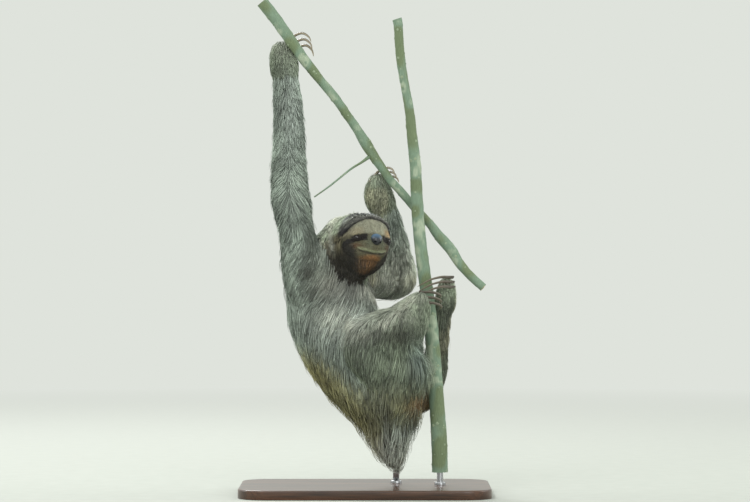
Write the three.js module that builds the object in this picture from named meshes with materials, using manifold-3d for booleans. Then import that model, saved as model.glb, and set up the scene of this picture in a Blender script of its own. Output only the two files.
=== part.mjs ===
// A brown-throated three-toed sloth at life size, as a still display model. It hangs upright: both hands
// hook over a sloping branch and both feet hold an upright stem. The stem and the body stand on two rods
// over a flat base. Each fleshy solid reaches out to the tips of the coat.
//
// Millimetres, +Z up. The belly faces +X, the sloth's right side is -Y, and the face is turned towards -Y.
// The origin is the middle of the underside of the stand.
import * as THREE from "three";
import { mergeVertices } from "three/addons/utils/BufferGeometryUtils.js";
import Module from "manifold-3d";

const wasm = await Module();
wasm.setup();

// ---------------------------------------------------------------- driving dimensions

const GAP = 0.4; // the thin cut between neighbouring pieces
const TRUNK_CELL = 26; // how finely each form is faceted
const TAIL_CELL = 12;
const LIMB_CELL = 16;
const HEAD_CELL = 13;
const HAND_CELL = 14;

const BASE = { length: 400, width: 260, thickness: 15, corner: 46, bevel: 2 };
const ROD_RADIUS = 5;
const STEM_FOOT_Z = 35; // where the cut end of the stem sits on its rod

const TRUNK_DEPTH = 0.85; // side-to-side size of the trunk as a share of its back-to-belly size
const TAIL_TOP_Z = 108;

const HEAD = { at: [-8, -28, 397], yaw: 28, pitch: 18, roll: 7 }; // degrees
const EYE = { radius: 5.6, side: 27, up: 0, sunk: 5.1 };
const NOSE = { radii: [8.6, 6.5, 7.8], up: -4.5, sunk: 1.5 };

const CLAW = { radius: 3.6, tip: 0.9, sides: 6, rings: 6 };

// ---------------------------------------------------------------- forms as distances

// The smaller of two distances, with the crease between them rounded over about `soft`.
const blend = (a, b, soft) => {
  const near = Math.max(soft - Math.abs(a - b), 0) / soft;
  return Math.min(a, b) - near * near * soft * 0.25;
};

// Uniform Catmull-Rom value between b and c.
const spline = (a, b, c, d, t) =>
  b + 0.5 * t * (c - a + t * (2 * a - 5 * b + 4 * c - d + t * (3 * (b - c) + d - a)));

// The distance to a row of balls [x, y, z, radius] joined by a smooth curve. `depth` flattens it along Y.
function chain(balls, depth = 1, steps = 5) {
  const row = [balls[0], ...balls, balls[balls.length - 1]];
  const beads = [];
  for (let i = 1; i < row.length - 2; i++) {
    const [before, from, to, after] = row.slice(i - 1, i + 3);
    for (let s = 0; s < steps; s++)
      beads.push([0, 1, 2, 3].map((c) => spline(before[c], from[c], to[c], after[c], s / steps)));
  }
  beads.push(balls[balls.length - 1]);
  const line = beads.map(([x, y, z, r]) => [x, y / depth, z, r]);
  return (x, y, z) => {
    let least = Infinity;
    for (let i = 1; i < line.length; i++) {
      const [ax, ay, az, ar] = line[i - 1];
      const [bx, by, bz, br] = line[i];
      const [dx, dy, dz] = [bx - ax, by - ay, bz - az];
      const [px, py, pz] = [x - ax, y / depth - ay, z - az];
      const along = (px * dx + py * dy + pz * dz) / (dx * dx + dy * dy + dz * dz);
      const t = Math.min(1, Math.max(0, along));
      least = Math.min(least, Math.hypot(px - t * dx, py - t * dy, pz - t * dz) - ar - t * (br - ar));
    }
    return least;
  };
}

// The distance to an ellipsoid.
const ellipsoid = ([cx, cy, cz], [rx, ry, rz]) => (x, y, z) => {
  const [ux, uy, uz] = [(x - cx) / rx, (y - cy) / ry, (z - cz) / rz];
  const k0 = Math.hypot(ux, uy, uz);
  const k1 = Math.hypot(ux / rx, uy / ry, uz / rz);
  return k1 < 1e-9 ? -Math.min(rx, ry, rz) : (k0 * (k0 - 1)) / k1;
};

// ---------------------------------------------------------------- closed solids

function meshed(points, triangles) {
  const vertProperties = new Float32Array(points);
  const triVerts = new Uint32Array(triangles);
  return new wasm.Manifold(new wasm.Mesh({ numProp: 3, vertProperties, triVerts }));
}

// The way `distance` grows at a place, over half a millimetre.
function slopeOf(distance, [x, y, z]) {
  const here = distance(x, y, z);
  const near = [distance(x + 0.5, y, z), distance(x, y + 0.5, z), distance(x, y, z + 0.5)];
  return near.map((there) => 2 * (there - here));
}

// The closed surface where `distance` is zero, on a grid of cubes, with each vertex moved onto the form.
// It gives the solid, and the same facets swollen by the gap, which is what its neighbours are cut with.
function form(distance, low, high, cell) {
  const n = low.map((v, i) => Math.ceil((high[i] - v) / cell) + 1);
  const step = [1, n[0], n[0] * n[1]];
  const place = (i, j, k) => [low[0] + i * cell, low[1] + j * cell, low[2] + k * cell];
  const value = new Float64Array(n[0] * n[1] * n[2]);
  for (let k = 0, p = 0; k < n[2]; k++)
    for (let j = 0; j < n[1]; j++)
      for (let i = 0; i < n[0]; i++, p++) value[p] = distance(...place(i, j, k));

  const vertex = new Int32Array(value.length).fill(-1);
  const points = [];
  const settle = (v) => {
    for (let pass = 0; pass < 3; pass++) {
      const d = distance(...v);
      const slope = slopeOf(distance, v);
      const square = slope.reduce((sum, s) => sum + s * s, 1e-6);
      for (let c = 0; c < 3; c++) v[c] -= Math.max(-cell / 4, Math.min(cell / 4, (d * slope[c]) / square));
    }
    return v;
  };
  for (let k = 0; k < n[2] - 1; k++)
    for (let j = 0; j < n[1] - 1; j++)
      for (let i = 0; i < n[0] - 1; i++) {
        const p = i * step[0] + j * step[1] + k * step[2];
        const sum = [0, 0, 0];
        let crossings = 0;
        for (let corner = 0; corner < 8; corner++)
          for (let axis = 0; axis < 3; axis++) {
            if (corner & (1 << axis)) continue;
            const bit = [corner & 1, (corner >> 1) & 1, (corner >> 2) & 1];
            const a = value[p + bit[0] * step[0] + bit[1] * step[1] + bit[2] * step[2]];
            const b = value[p + bit[0] * step[0] + bit[1] * step[1] + bit[2] * step[2] + step[axis]];
            if (a < 0 === b < 0) continue;
            crossings++;
            for (let c = 0; c < 3; c++) sum[c] += bit[c] + (c === axis ? a / (a - b) : 0);
          }
        if (!crossings) continue;
        vertex[p] = points.length / 3;
        points.push(...settle(place(...[i, j, k].map((v, c) => v + sum[c] / crossings))));
      }

  const triangles = [];
  const apart = (a, b) => Math.hypot(...[0, 1, 2].map((c) => points[3 * a + c] - points[3 * b + c]));
  for (let k = 1; k < n[2] - 1; k++)
    for (let j = 1; j < n[1] - 1; j++)
      for (let i = 1; i < n[0] - 1; i++)
        for (let axis = 0; axis < 3; axis++) {
          const p = i * step[0] + j * step[1] + k * step[2];
          const [e, f] = [step[(axis + 1) % 3], step[(axis + 2) % 3]];
          const inside = value[p] < 0;
          if (inside === value[p + step[axis]] < 0) continue;
          let [a, b, c, d] = [p, p - e, p - e - f, p - f].map((q) => vertex[q]);
          if (!inside) [b, d] = [d, b];
          if (apart(a, c) < apart(b, d)) triangles.push(a, b, c, a, c, d);
          else triangles.push(b, c, d, b, d, a);
        }
  const swollen = [];
  for (let p = 0; p < points.length; p += 3) {
    const spot = points.slice(p, p + 3);
    const slope = slopeOf(distance, spot);
    const size = Math.hypot(...slope) || 1;
    swollen.push(...spot.map((v, c) => v + (slope[c] / size) * GAP * 1.15));
  }
  return { solid: meshed(points, triangles), swollen: meshed(swollen, triangles) };
}

// A three.js geometry as a solid.
function solidOf(geometry) {
  geometry.deleteAttribute("normal");
  geometry.deleteAttribute("uv");
  const merged = mergeVertices(geometry, 1e-3);
  return new wasm.Manifold(
    new wasm.Mesh({
      numProp: 3,
      vertProperties: merged.attributes.position.array,
      triVerts: new Uint32Array(merged.index.array),
    }),
  );
}

// A closed tube of changing radius along a curve, with flat ends.
function tube(points, radiusAt, sides, rings) {
  const curve = new THREE.CatmullRomCurve3(points.map((p) => new THREE.Vector3(...p)), false, "centripetal");
  const frames = curve.computeFrenetFrames(rings, false);
  const positions = [];
  for (let i = 0; i <= rings; i++) {
    const centre = curve.getPointAt(i / rings);
    const radius = radiusAt(i / rings);
    for (let j = 0; j < sides; j++) {
      const angle = (2 * Math.PI * j) / sides;
      const spoke = frames.normals[i].clone().multiplyScalar(Math.cos(angle));
      spoke.addScaledVector(frames.binormals[i], Math.sin(angle));
      positions.push(...centre.clone().addScaledVector(spoke, radius).toArray());
    }
  }
  const faces = [];
  for (let i = 0; i < rings; i++)
    for (let j = 0; j < sides; j++) {
      const [a, b] = [i * sides + j, i * sides + ((j + 1) % sides)];
      faces.push(a, b, b + sides, a, b + sides, a + sides);
    }
  const last = rings * sides;
  for (let j = 1; j < sides - 1; j++) faces.push(0, j + 1, j, last, last + j, last + j + 1);
  return meshed(positions, faces);
}

// A tube whose rows give each place and the radius there, swollen by `extra`.
function bough(rows, sides, rings, extra = 0) {
  const places = rows.map(([x, y, z]) => [x, y, z]);
  const lengths = [0];
  for (let i = 1; i < rows.length; i++)
    lengths.push(lengths[i - 1] + Math.hypot(...[0, 1, 2].map((c) => rows[i][c] - rows[i - 1][c])));
  const girth = (t) => {
    const at = t * lengths[lengths.length - 1];
    const i = Math.min(rows.length - 1, Math.max(1, lengths.findIndex((length) => length >= at)));
    const share = Math.min(1, (at - lengths[i - 1]) / (lengths[i] - lengths[i - 1]));
    return rows[i - 1][3] + (rows[i][3] - rows[i - 1][3]) * share + extra;
  };
  return tube(places, girth, sides, rings);
}

// The largest piece of a solid that a cut has left in several.
const largest = (solid) =>
  solid.decompose().reduce((best, one) => (one.volume() > best.volume() ? one : best));

// The part of a solid between two cuts. Each cut is { at, along }, and `along` points to the far end.
function between(solid, from, to) {
  const trimmed = (one, cut, sign) => {
    const normal = new THREE.Vector3(...cut.along).normalize().multiplyScalar(sign);
    return one.trimByPlane(normal.toArray(), normal.dot(new THREE.Vector3(...cut.at)) + GAP / 2);
  };
  let kept = solid;
  if (from) kept = trimmed(kept, from, 1);
  if (to) kept = trimmed(kept, to, -1);
  return kept;
}

// ---------------------------------------------------------------- the model's group and finishes

const model = new THREE.Group();
model.name = "three_toed_sloth";

const finish = (color, roughness, metalness = 0) =>
  new THREE.MeshStandardMaterial({ color, roughness, metalness });
const coat = finish(0x857e6f, 0.95);
const faceCoat = finish(0x8f8672, 0.95);
const claw = finish(0x9a8f78, 0.55);
const eyeball = finish(0x120d0a, 0.12);
const noseSkin = finish(0x23262c, 0.35);
const bark = finish(0x7f8a6a, 0.9);
const wood = finish(0x3a2a1f, 0.5);
const steel = finish(0x9a9da0, 0.35, 1);

function add(name, solid, material) {
  const { vertProperties, triVerts, numProp } = largest(solid).getMesh();
  const positions = new Float32Array((vertProperties.length / numProp) * 3);
  for (let i = 0; i < positions.length / 3; i++)
    positions.set(vertProperties.subarray(i * numProp, i * numProp + 3), i * 3);
  const geometry = new THREE.BufferGeometry();
  geometry.setAttribute("position", new THREE.BufferAttribute(positions, 3));
  geometry.setIndex(new THREE.BufferAttribute(new Uint32Array(triVerts), 1));
  const mesh = new THREE.Mesh(geometry, material);
  mesh.name = name;
  model.add(mesh);
}

// ---------------------------------------------------------------- the perch: a stem and a branch

// Each row is a place on the centreline and the radius there: [x, y, z, radius].
const STEM = [
  [51, 0, 760, 7.8],
  [53, 0, 750, 7.4],
  [56.5, 0, 701, 7.2],
  [64.5, 0, 650, 7],
  [71, 0, 614, 7.3],
  [76.5, 0, 562, 8.6],
  [81, 0, 522, 9.2],
  [82.5, 0, 482, 9.6],
  [85, 0, 442, 9.8],
  [88.5, 0, 402, 9.9],
  [93.5, 0, 362, 10.2],
  [102, 0, 300, 10.8],
  [109, 0, 230, 11.3],
  [114.5, 0, 150, 12],
  [118.5, 0, 90, 12.6],
  [120, 0, STEM_FOOT_Z, 12.8],
];
const BRANCH = [
  [-164, -16, 786, 9.6],
  [-145, -15, 762, 9.4],
  [-113.6, -12, 718, 8.9],
  [-96, -10, 693, 8.2],
  [-71.5, -7, 662, 7.3],
  [-49.6, -4, 636, 7.1],
  [-31, -1, 610, 7],
  [-14.5, 2, 586, 7.2],
  [2, 5, 560, 8.2],
  [13.5, 8, 542, 7.6],
  [27, 11, 522, 6.9],
  [41, 15, 502, 6.6],
  [58.5, 20, 483, 6.7],
  [82, 23, 456, 6.6],
  [103.5, 23, 433, 6.9],
  [118, 22, 414, 8],
  [137, 20, 392, 8.9],
  [151, 18, 370, 7.6],
  [169, 15, 349, 6.8],
  [190, 12, 330, 6.6],
];
const TWIG = [
  [4, 4, 537, 1.9],
  [-24, 1, 519, 1.7],
  [-56, -6, 493, 1.4],
  [-81, -11, 475, 1.1],
];

const [stem, branch] = [bough(STEM, 10, 22), bough(BRANCH, 10, 20)];
const branchSwollen = bough(BRANCH, 10, 20, GAP);
const perchSwollen = bough(STEM, 10, 22, GAP).add(branchSwollen);

add("perch_stem", stem, bark);
add("perch_branch", branch, bark);
add("perch_twig", bough(TWIG, 6, 6).subtract(branchSwollen), bark);

// ---------------------------------------------------------------- claws, three to each limb

// Each grip has the course of its middle claw, from the root in the fur to the tip, and the steps to the
// next claw at the root and at the tip.
const GRIPS = {
  right_hand: {
    course: [
      [-124, 12, 712],
      [-111, 13, 724],
      [-98, 9, 728],
      [-88, -1, 721],
      [-84, -9, 711],
    ],
    steps: [
      [4.6, 0.5, -8],
      [2, 0.5, -11.5],
    ],
  },
  left_hand: {
    course: [
      [17, 32, 499],
      [27, 34, 511],
      [38, 29, 516],
      [47, 20, 513],
      [51, 10, 506],
    ],
    steps: [
      [5, 0.8, -6.6],
      [3.4, 0.8, -7.4],
    ],
  },
  right_foot: {
    course: [
      [93, -36, 315],
      [106, -35, 315],
      [117, -27, 312],
      [121.5, -14, 308],
      [118, -3, 304],
    ],
    steps: [
      [0.6, -0.5, -8.6],
      [0.6, -0.5, -8.4],
    ],
  },
  left_foot: {
    course: [
      [135, -1, 339],
      [122, -18, 339.5],
      [107, -26, 336],
      [95, -26, 330],
      [86, -21, 325],
    ],
    steps: [
      [1.2, -1, -7.8],
      [2.4, -1, -7],
    ],
  },
};

const lerp = (a, b, t) => a + (b - a) * t;
const clawRadius = (t) => lerp(CLAW.radius, CLAW.tip, t ** 1.6);
let clawsSwollen = null;
for (const [limb, { course, steps }] of Object.entries(GRIPS))
  for (let i = 0; i < 3; i++) {
    const moved = (v, c, at) => v + (i - 1) * lerp(steps[0][c], steps[1][c], at / (course.length - 1));
    const line = course.map((p, at) => p.map((v, c) => moved(v, c, at)));
    add(`${limb}_claw_${i + 1}`, tube(line, clawRadius, CLAW.sides, CLAW.rings), claw);
    const wider = tube(line, (t) => clawRadius(t) + GAP, CLAW.sides, CLAW.rings);
    clawsSwollen = clawsSwollen ? clawsSwollen.add(wider) : wider;
  }
const hard = perchSwollen.add(clawsSwollen);

// ---------------------------------------------------------------- head, with its eyes and nose

// The head's own axes: x to the sloth's right, y out of the face, z up.
const turn = new THREE.Matrix4()
  .makeRotationY(THREE.MathUtils.degToRad(HEAD.roll))
  .multiply(new THREE.Matrix4().makeRotationZ(Math.PI + THREE.MathUtils.degToRad(HEAD.yaw)))
  .multiply(new THREE.Matrix4().makeRotationX(THREE.MathUtils.degToRad(HEAD.pitch)));
const headToWorld = new THREE.Matrix4().makeTranslation(...HEAD.at).multiply(turn);
const worldToHead = headToWorld.clone().invert().elements;

const skull = [
  { at: [0, -8, 0], radii: [51, 48, 52] }, // crown, nape and cheeks under the long hood of hair
  { at: [0, 17, 4], radii: [45, 35, 40] }, // the flat face
  { at: [0, 24, -24], radii: [27, 23, 17] }, // chin and throat
  { at: [0, 42, -9], radii: [20, 15.5, 14] }, // the short muzzle
  { at: [0, 28, 22], radii: [37, 20, 17] }, // the brow
].map(({ at, radii }) => ellipsoid(at, radii));
const headLocal = (x, y, z) => skull.map((one) => one(x, y, z)).reduce((a, b) => blend(a, b, 12));
const headDistance = (x, y, z) => {
  const m = worldToHead;
  return headLocal(
    m[0] * x + m[4] * y + m[8] * z + m[12],
    m[1] * x + m[5] * y + m[9] * z + m[13],
    m[2] * x + m[6] * y + m[10] * z + m[14],
  );
};

// How far out of the face the surface is at a place to the side and up.
function faceAt(side, up) {
  let [inside, outside] = [0, 100];
  for (let pass = 0; pass < 30; pass++) {
    const middle = (inside + outside) / 2;
    if (headLocal(side, middle, up) < 0) inside = middle;
    else outside = middle;
  }
  return inside;
}

function ballOnFace(side, up, sunk, radii, extra = 0) {
  const ball = new THREE.SphereGeometry(1, 12, 8);
  ball.scale(...radii.map((r) => r + extra));
  ball.translate(side, faceAt(side, up) - sunk, up);
  return solidOf(ball.applyMatrix4(headToWorld));
}

const eyeRadii = [EYE.radius, EYE.radius, EYE.radius];
const eyes = { right_eye: EYE.side, left_eye: -EYE.side };
let faceParts = ballOnFace(0, NOSE.up, NOSE.sunk, NOSE.radii, GAP);
add("nose", ballOnFace(0, NOSE.up, NOSE.sunk, NOSE.radii), noseSkin);
for (const [name, side] of Object.entries(eyes)) {
  add(name, ballOnFace(side, EYE.up, EYE.sunk, eyeRadii), eyeball);
  faceParts = faceParts.add(ballOnFace(side, EYE.up, EYE.sunk, eyeRadii, GAP));
}
const head = form(headDistance, [-80, -110, 325], [75, 50, 470], HEAD_CELL);
add("head", head.solid.subtract(faceParts), faceCoat);

// ---------------------------------------------------------------- trunk, neck and tail

const trunkDistance = chain(
  [
    [-58, 0, 358, 58], // shoulders
    [-58, 0, 332, 70], // chest
    [-51, 0, 286, 77], // ribs
    [-24, 0, 222, 74], // belly
    [18, 0, 176, 72], // loins
    [36, 0, 146, 60], // rump
    [37, 0, 104, 37], // root of the tail
    [41, 0, 82, 31],
    [46, 0, 64, 23],
    [51, 0, 49, 15],
    [55, 0, 35, 6], // tips of the tail's hair
  ],
  TRUNK_DEPTH,
);
const neckDistance = chain([
  [-30, -2, 403, 44],
  [-50, 0, 352, 56],
]);
const trunk = form(trunkDistance, [-165, -95, 0], [125, 95, 440], TRUNK_CELL);
const neck = form(neckDistance, [-125, -75, 280], [35, 75, 455], LIMB_CELL);

const tailCut = { at: [43, 0, TAIL_TOP_Z], along: [0.1, 0, -1] };
const hindDistance = (x, y, z) => Math.max(trunkDistance(x, y, z), z - 130);
const tailForm = form(hindDistance, [-60, -80, 15], [130, 80, 150], TAIL_CELL);
const trunkClear = trunk.solid.subtract(head.swollen).subtract(hard);
add("trunk", between(trunkClear, null, tailCut), coat);
add("tail", between(tailForm.solid, tailCut, null), coat);
add("neck", neck.solid.subtract(head.swollen).subtract(trunk.swollen), coat);

// ---------------------------------------------------------------- limbs

// Each limb has a row of balls from its root to its claws, and the cuts that part it at its two joints.
const LIMBS = {
  right: {
    arm: {
      balls: [
        [-84, -26, 335, 48],
        [-101, -40, 375, 36], // shoulder
        [-109, -38, 424, 31],
        [-118, -32, 472, 35], // elbow
        [-121, -24, 518, 31],
        [-122, -12, 598, 28],
        [-126, 0, 652, 26],
        [-130, 6, 686, 25], // wrist
        [-134, 10, 706, 20],
        [-128, 12, 717, 13],
      ],
      parts: ["right_upper_arm", "right_forearm", "right_hand"],
      cuts: [
        { at: [-120, -28, 498], along: [-0.05, 0.12, 1] },
        { at: [-129, 3, 672], along: [-0.1, 0.15, 1] },
      ],
      low: [-190, -105, 270],
      high: [-25, 70, 745],
    },
    leg: {
      balls: [
        [38, -20, 160, 50], // hip
        [48, -28, 204, 50],
        [14, -45, 220, 47],
        [-2, -62, 242, 37], // knee
        [34, -54, 261, 35],
        [62, -40, 270, 35], // ankle
        [73, -34, 282, 31], // heel
        [89, -34, 307, 19], // toes
      ],
      parts: ["right_thigh", "right_shin", "right_foot"],
      cuts: [
        { at: [4, -62, 247], along: [0.18, 0.02, 0.98] },
        { at: [60, -40, 270], along: [0.85, 0.2, 0.45] },
      ],
      low: [-60, -125, 85],
      high: [125, 55, 345],
    },
  },
  left: {
    arm: {
      balls: [
        [-38, 28, 345, 46],
        [-8, 56, 346, 35], // shoulder
        [56, 84, 338, 30], // elbow
        [50, 74, 380, 29],
        [38, 60, 430, 27],
        [24, 47, 470, 26], // wrist
        [19, 39, 490, 21],
        [20, 33, 504, 13],
      ],
      parts: ["left_upper_arm", "left_forearm", "left_hand"],
      cuts: [
        { at: [48, 82, 342], along: [0.6, 0.1, 0.78] },
        { at: [27, 51, 461], along: [-0.25, -0.3, 1] },
      ],
      low: [-100, -35, 275],
      high: [105, 135, 535],
    },
    leg: {
      balls: [
        [28, 28, 158, 50], // hip
        [66, 40, 161, 41],
        [91, 43, 163, 36],
        [110, 44, 188, 26], // knee
        [115, 38, 226, 22],
        [121, 30, 270, 20],
        [128, 22, 300, 20], // ankle
        [131, 15, 324, 18],
        [130, 6, 336, 14], // toes
      ],
      parts: ["left_thigh", "left_shin", "left_foot"],
      cuts: [
        { at: [106, 44, 184], along: [0.35, -0.1, 0.9] },
        { at: [127, 23, 296], along: [0.2, -0.25, 1] },
      ],
      low: [-40, -40, 90],
      high: [165, 110, 360],
    },
  },
};

const clearOfBody = (solid) => solid.subtract(trunk.swollen).subtract(head.swollen).subtract(hard);
for (const side of Object.values(LIMBS))
  for (const limb of Object.values(side)) {
    const distance = chain(limb.balls);
    const [whole, fine] = [LIMB_CELL, HAND_CELL].map((cell) =>
      clearOfBody(form(distance, limb.low, limb.high, cell).solid),
    );
    add(limb.parts[0], between(whole, null, limb.cuts[0]).subtract(neck.swollen), coat);
    add(limb.parts[1], between(whole, limb.cuts[0], limb.cuts[1]), coat);
    const pastFirst = between(fine, limb.cuts[0], null);
    add(limb.parts[2], between(pastFirst, limb.cuts[1], null), coat);
  }

// ---------------------------------------------------------------- stand

function baseSolid() {
  const { length, width, thickness, corner, bevel } = BASE;
  const [x, y] = [length / 2 - bevel, width / 2 - bevel];
  const outline = new THREE.Shape();
  outline.moveTo(-x + corner, -y);
  outline.absarc(x - corner, -y + corner, corner, -Math.PI / 2, 0, false);
  outline.absarc(x - corner, y - corner, corner, 0, Math.PI / 2, false);
  outline.absarc(-x + corner, y - corner, corner, Math.PI / 2, Math.PI, false);
  outline.absarc(-x + corner, -y + corner, corner, Math.PI, 1.5 * Math.PI, false);
  const plate = new THREE.ExtrudeGeometry(outline, {
    depth: thickness - 2 * bevel,
    bevelThickness: bevel,
    bevelSize: bevel,
    bevelSegments: 1,
    curveSegments: 5,
  });
  return solidOf(plate.translate(0, 0, bevel));
}

// An upright rod from the base to a height.
function rod(x, y, top) {
  const foot = BASE.thickness + GAP;
  const bar = new THREE.CylinderGeometry(ROD_RADIUS, ROD_RADIUS, top - foot, 16);
  bar.rotateX(Math.PI / 2).translate(x, y, (top + foot) / 2);
  return solidOf(bar);
}

const [stemX, stemY] = STEM[STEM.length - 1];
const BODY_ROD = { x: 50, y: 36, top: 130 };
add("stand_base", baseSolid(), wood);
add("stand_rod_stem", rod(stemX, stemY, STEM_FOOT_Z - 0.6), steel);
const bodyRod = rod(BODY_ROD.x, BODY_ROD.y, BODY_ROD.top);
add("stand_rod_body", bodyRod.subtract(trunk.swollen).subtract(tailForm.swollen), steel);

export default model;
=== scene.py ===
"""A brown-throated three-toed sloth at life size, as a museum would show it: it hangs upright from a sloping
branch and holds an upright stem, on a plain display stand. One hide wraps the whole body, and the coat on it
is solid locks of hair that follow the lie of the fur."""

import math

import bmesh
import bpy
import numpy as np
from mathutils import Matrix, Vector
from mathutils.bvhtree import BVHTree
from mathutils.kdtree import KDTree


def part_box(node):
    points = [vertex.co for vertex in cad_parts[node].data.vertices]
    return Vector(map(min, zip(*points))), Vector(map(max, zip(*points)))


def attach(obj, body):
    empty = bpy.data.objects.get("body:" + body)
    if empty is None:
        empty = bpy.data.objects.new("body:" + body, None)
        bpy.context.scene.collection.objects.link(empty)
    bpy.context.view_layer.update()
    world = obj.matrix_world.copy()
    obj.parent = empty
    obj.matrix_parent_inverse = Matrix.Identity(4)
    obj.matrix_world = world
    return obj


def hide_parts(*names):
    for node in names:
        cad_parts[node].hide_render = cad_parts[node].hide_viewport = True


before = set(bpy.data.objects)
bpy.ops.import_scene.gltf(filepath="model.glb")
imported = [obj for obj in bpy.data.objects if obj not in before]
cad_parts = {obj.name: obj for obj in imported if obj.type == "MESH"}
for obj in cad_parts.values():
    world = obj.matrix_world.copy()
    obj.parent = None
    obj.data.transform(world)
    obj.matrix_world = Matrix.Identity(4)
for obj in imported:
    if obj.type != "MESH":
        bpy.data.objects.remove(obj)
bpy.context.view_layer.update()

# ---------------------------------------------------------------------------------------- camera
# A long lens from five metres away, level, at the height of the sloth's chin.


def in_scene(name, data):
    """A new object in the scene."""
    made = bpy.data.objects.new(name, data)
    bpy.context.scene.collection.objects.link(made)
    return made


camera = in_scene("camera", bpy.data.cameras.new("camera"))
bpy.context.scene.camera = camera
camera.location = (0.016, -5.0, 0.3888)
camera.rotation_euler = (math.pi / 2, 0, 0)
camera.data.lens = 150
camera.data.sensor_width = 36
camera.data.clip_end = 200

# ---------------------------------------------------------------------------------------- stand
# A plain display stand, which the animal doesn't have: a board of dark stained beech with a satin lacquer and
# a softly rounded top edge, and two rods of brushed steel, each in a small turned collar.

MM = 0.001
BOARD = {"length": 400, "width": 260, "thickness": 15, "corner": 46, "round": 2.4, "chamfer": 0.6}
CORNER_STEPS = 16
ROD_RADIUS = 5
COLLAR = {"radius": 9, "height": 4.5, "round": 1}
PORES_PER_M = (20, 700, 700)  # 50 mm long and 1.4 mm apart
FIGURE_PER_M = (4, 45, 45)
SCRATCHES_PER_M = (2500, 2500, 40)
RODS = {"stem": (120, 0, 46), "body": (50, 36, 160)}  # where each stands, and how high it reaches, in mm


def linear(code):
    """An sRGB hex colour as linear red, green and blue."""
    parts = np.array([int(code[i : i + 2], 16) for i in (1, 3, 5)]) / 255
    return np.where(parts <= 0.04045, parts / 12.92, ((parts + 0.055) / 1.055) ** 2.4)


def node(tree, kind, settings=(), **links):
    """Adds a node. A setting is an attribute or an input, and a link joins an input to a socket."""
    made = tree.nodes.new(kind)
    for name, value in dict(settings).items():
        if hasattr(made, name):
            setattr(made, name, value)
        else:
            made.inputs[name].default_value = value
    for name, socket in links.items():
        tree.links.new(made.inputs[name.replace("_", " ")], socket)
    return made


def material_of(name, **sockets):
    """A new material, with the numbers and colours that are the same all over set on its shader."""
    material = bpy.data.materials.new(name)
    material.use_nodes = True
    shader = material.node_tree.nodes["Principled BSDF"]
    for socket, value in sockets.items():
        shader.inputs[socket.replace("_", " ")].default_value = value
    return material, material.node_tree, shader


def noise_over(tree, per_m, detail):
    """Noise laid over a piece in its own space, with this many features to the metre along each axis."""
    where = node(tree, "ShaderNodeTexCoord")
    drawn = node(tree, "ShaderNodeMapping", {"Scale": per_m}, Vector=where.outputs["Object"])
    noise = node(tree, "ShaderNodeTexNoise", {"Scale": 1, "Detail": detail}, Vector=drawn.outputs["Vector"])
    return noise.outputs["Fac"]


def between(tree, share, codes, ends=(0, 1)):
    """A colour that runs from the first hex colour to the last as the share passes from end to end."""
    tones = node(tree, "ShaderNodeValToRGB", Fac=share)
    while len(tones.color_ramp.elements) < len(codes):
        tones.color_ramp.elements.new(0.5)
    for element, code, end in zip(tones.color_ramp.elements, codes, ends):
        element.position = end
        element.color = (*linear(code), 1)
    return tones.outputs["Color"]


def varied(tree, colour, value, low, high, lowest=0.0):
    """A colour made darker or lighter: times `low` where the value is lowest, and `high` where it is 1."""
    light = node(tree, "ShaderNodeMapRange", {"From Min": lowest, "To Min": low, "To Max": high}, Value=value)
    scaled = node(tree, "ShaderNodeVectorMath", {"operation": "SCALE"}, Vector=colour)
    tree.links.new(scaled.inputs["Scale"], light.outputs["Result"])
    return scaled.outputs["Vector"]


def finished(tree, shader, colour, height, distance, strength, invert=False):
    """Puts a colour on a shader, and a bump of this distance in mm."""
    settings = {"Distance": distance * MM, "Strength": strength, "invert": invert}
    bump = node(tree, "ShaderNodeBump", settings, Height=height)
    tree.links.new(shader.inputs["Base Color"], colour)
    tree.links.new(shader.inputs["Normal"], bump.outputs["Normal"])


def piece(name, mesh, material, slot, *stands_for):
    """A finished piece of the model, which rides with it and may stand for solids of the frame."""
    for face in mesh.polygons:
        face.use_smooth = face.loop_total < 5
    made = in_scene(name, mesh)
    if not mesh.materials:
        mesh.materials.append(material)
    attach(made, "root")
    if stands_for:
        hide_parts(*stands_for)
    return made


def lofted(name, *bodies):
    """A mesh of closed bodies, in mm. Each is a row of rings of one count, joined in turn and capped."""
    points, polygons = [], []
    for rings in bodies:
        count, first = len(rings[0]), len(points)
        for ring in rings:
            points += [tuple(value * MM for value in spot) for spot in ring]
        for row in range(len(rings) - 1):
            for i in range(count):
                j, low = (i + 1) % count, first + row * count
                polygons.append((low + i, low + j, low + count + j, low + count + i))
        polygons.append(tuple(range(first + count - 1, first - 1, -1)))
        polygons.append(tuple(range(len(points) - count, len(points))))
    mesh = bpy.data.meshes.new(name)
    mesh.from_pydata(points, [], polygons)
    mesh.update()
    return mesh


def rounded_edge(size):
    """Steps round a quarter circle: how far below the face, and how far in from the edge."""
    return [(size * (1 - math.sin(a)), size * (1 - math.cos(a))) for a in np.linspace(0, math.pi / 2, 6)]


def board_ring(inset, height):
    radius = BOARD["corner"] - inset
    ring = []
    for quarter, (x, y) in enumerate(((1, -1), (1, 1), (-1, 1), (-1, -1))):
        x *= BOARD["length"] / 2 - BOARD["corner"]
        y *= BOARD["width"] / 2 - BOARD["corner"]
        for step in range(CORNER_STEPS + 1):
            turn = math.radians(90 * (quarter - 1 + step / CORNER_STEPS))
            ring.append((x + radius * math.cos(turn), y + radius * math.sin(turn), height))
    return ring


def circle(x, y, radius, height, sides=40):
    turns = np.arange(sides) / sides * math.tau
    return [(x + radius * math.cos(a), y + radius * math.sin(a), height) for a in turns]


wood, tree, shader = material_of(
    "beech, stained dark, satin lacquer", Roughness=0.34, Coat_Weight=0.25, IOR=1.5
)
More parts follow.
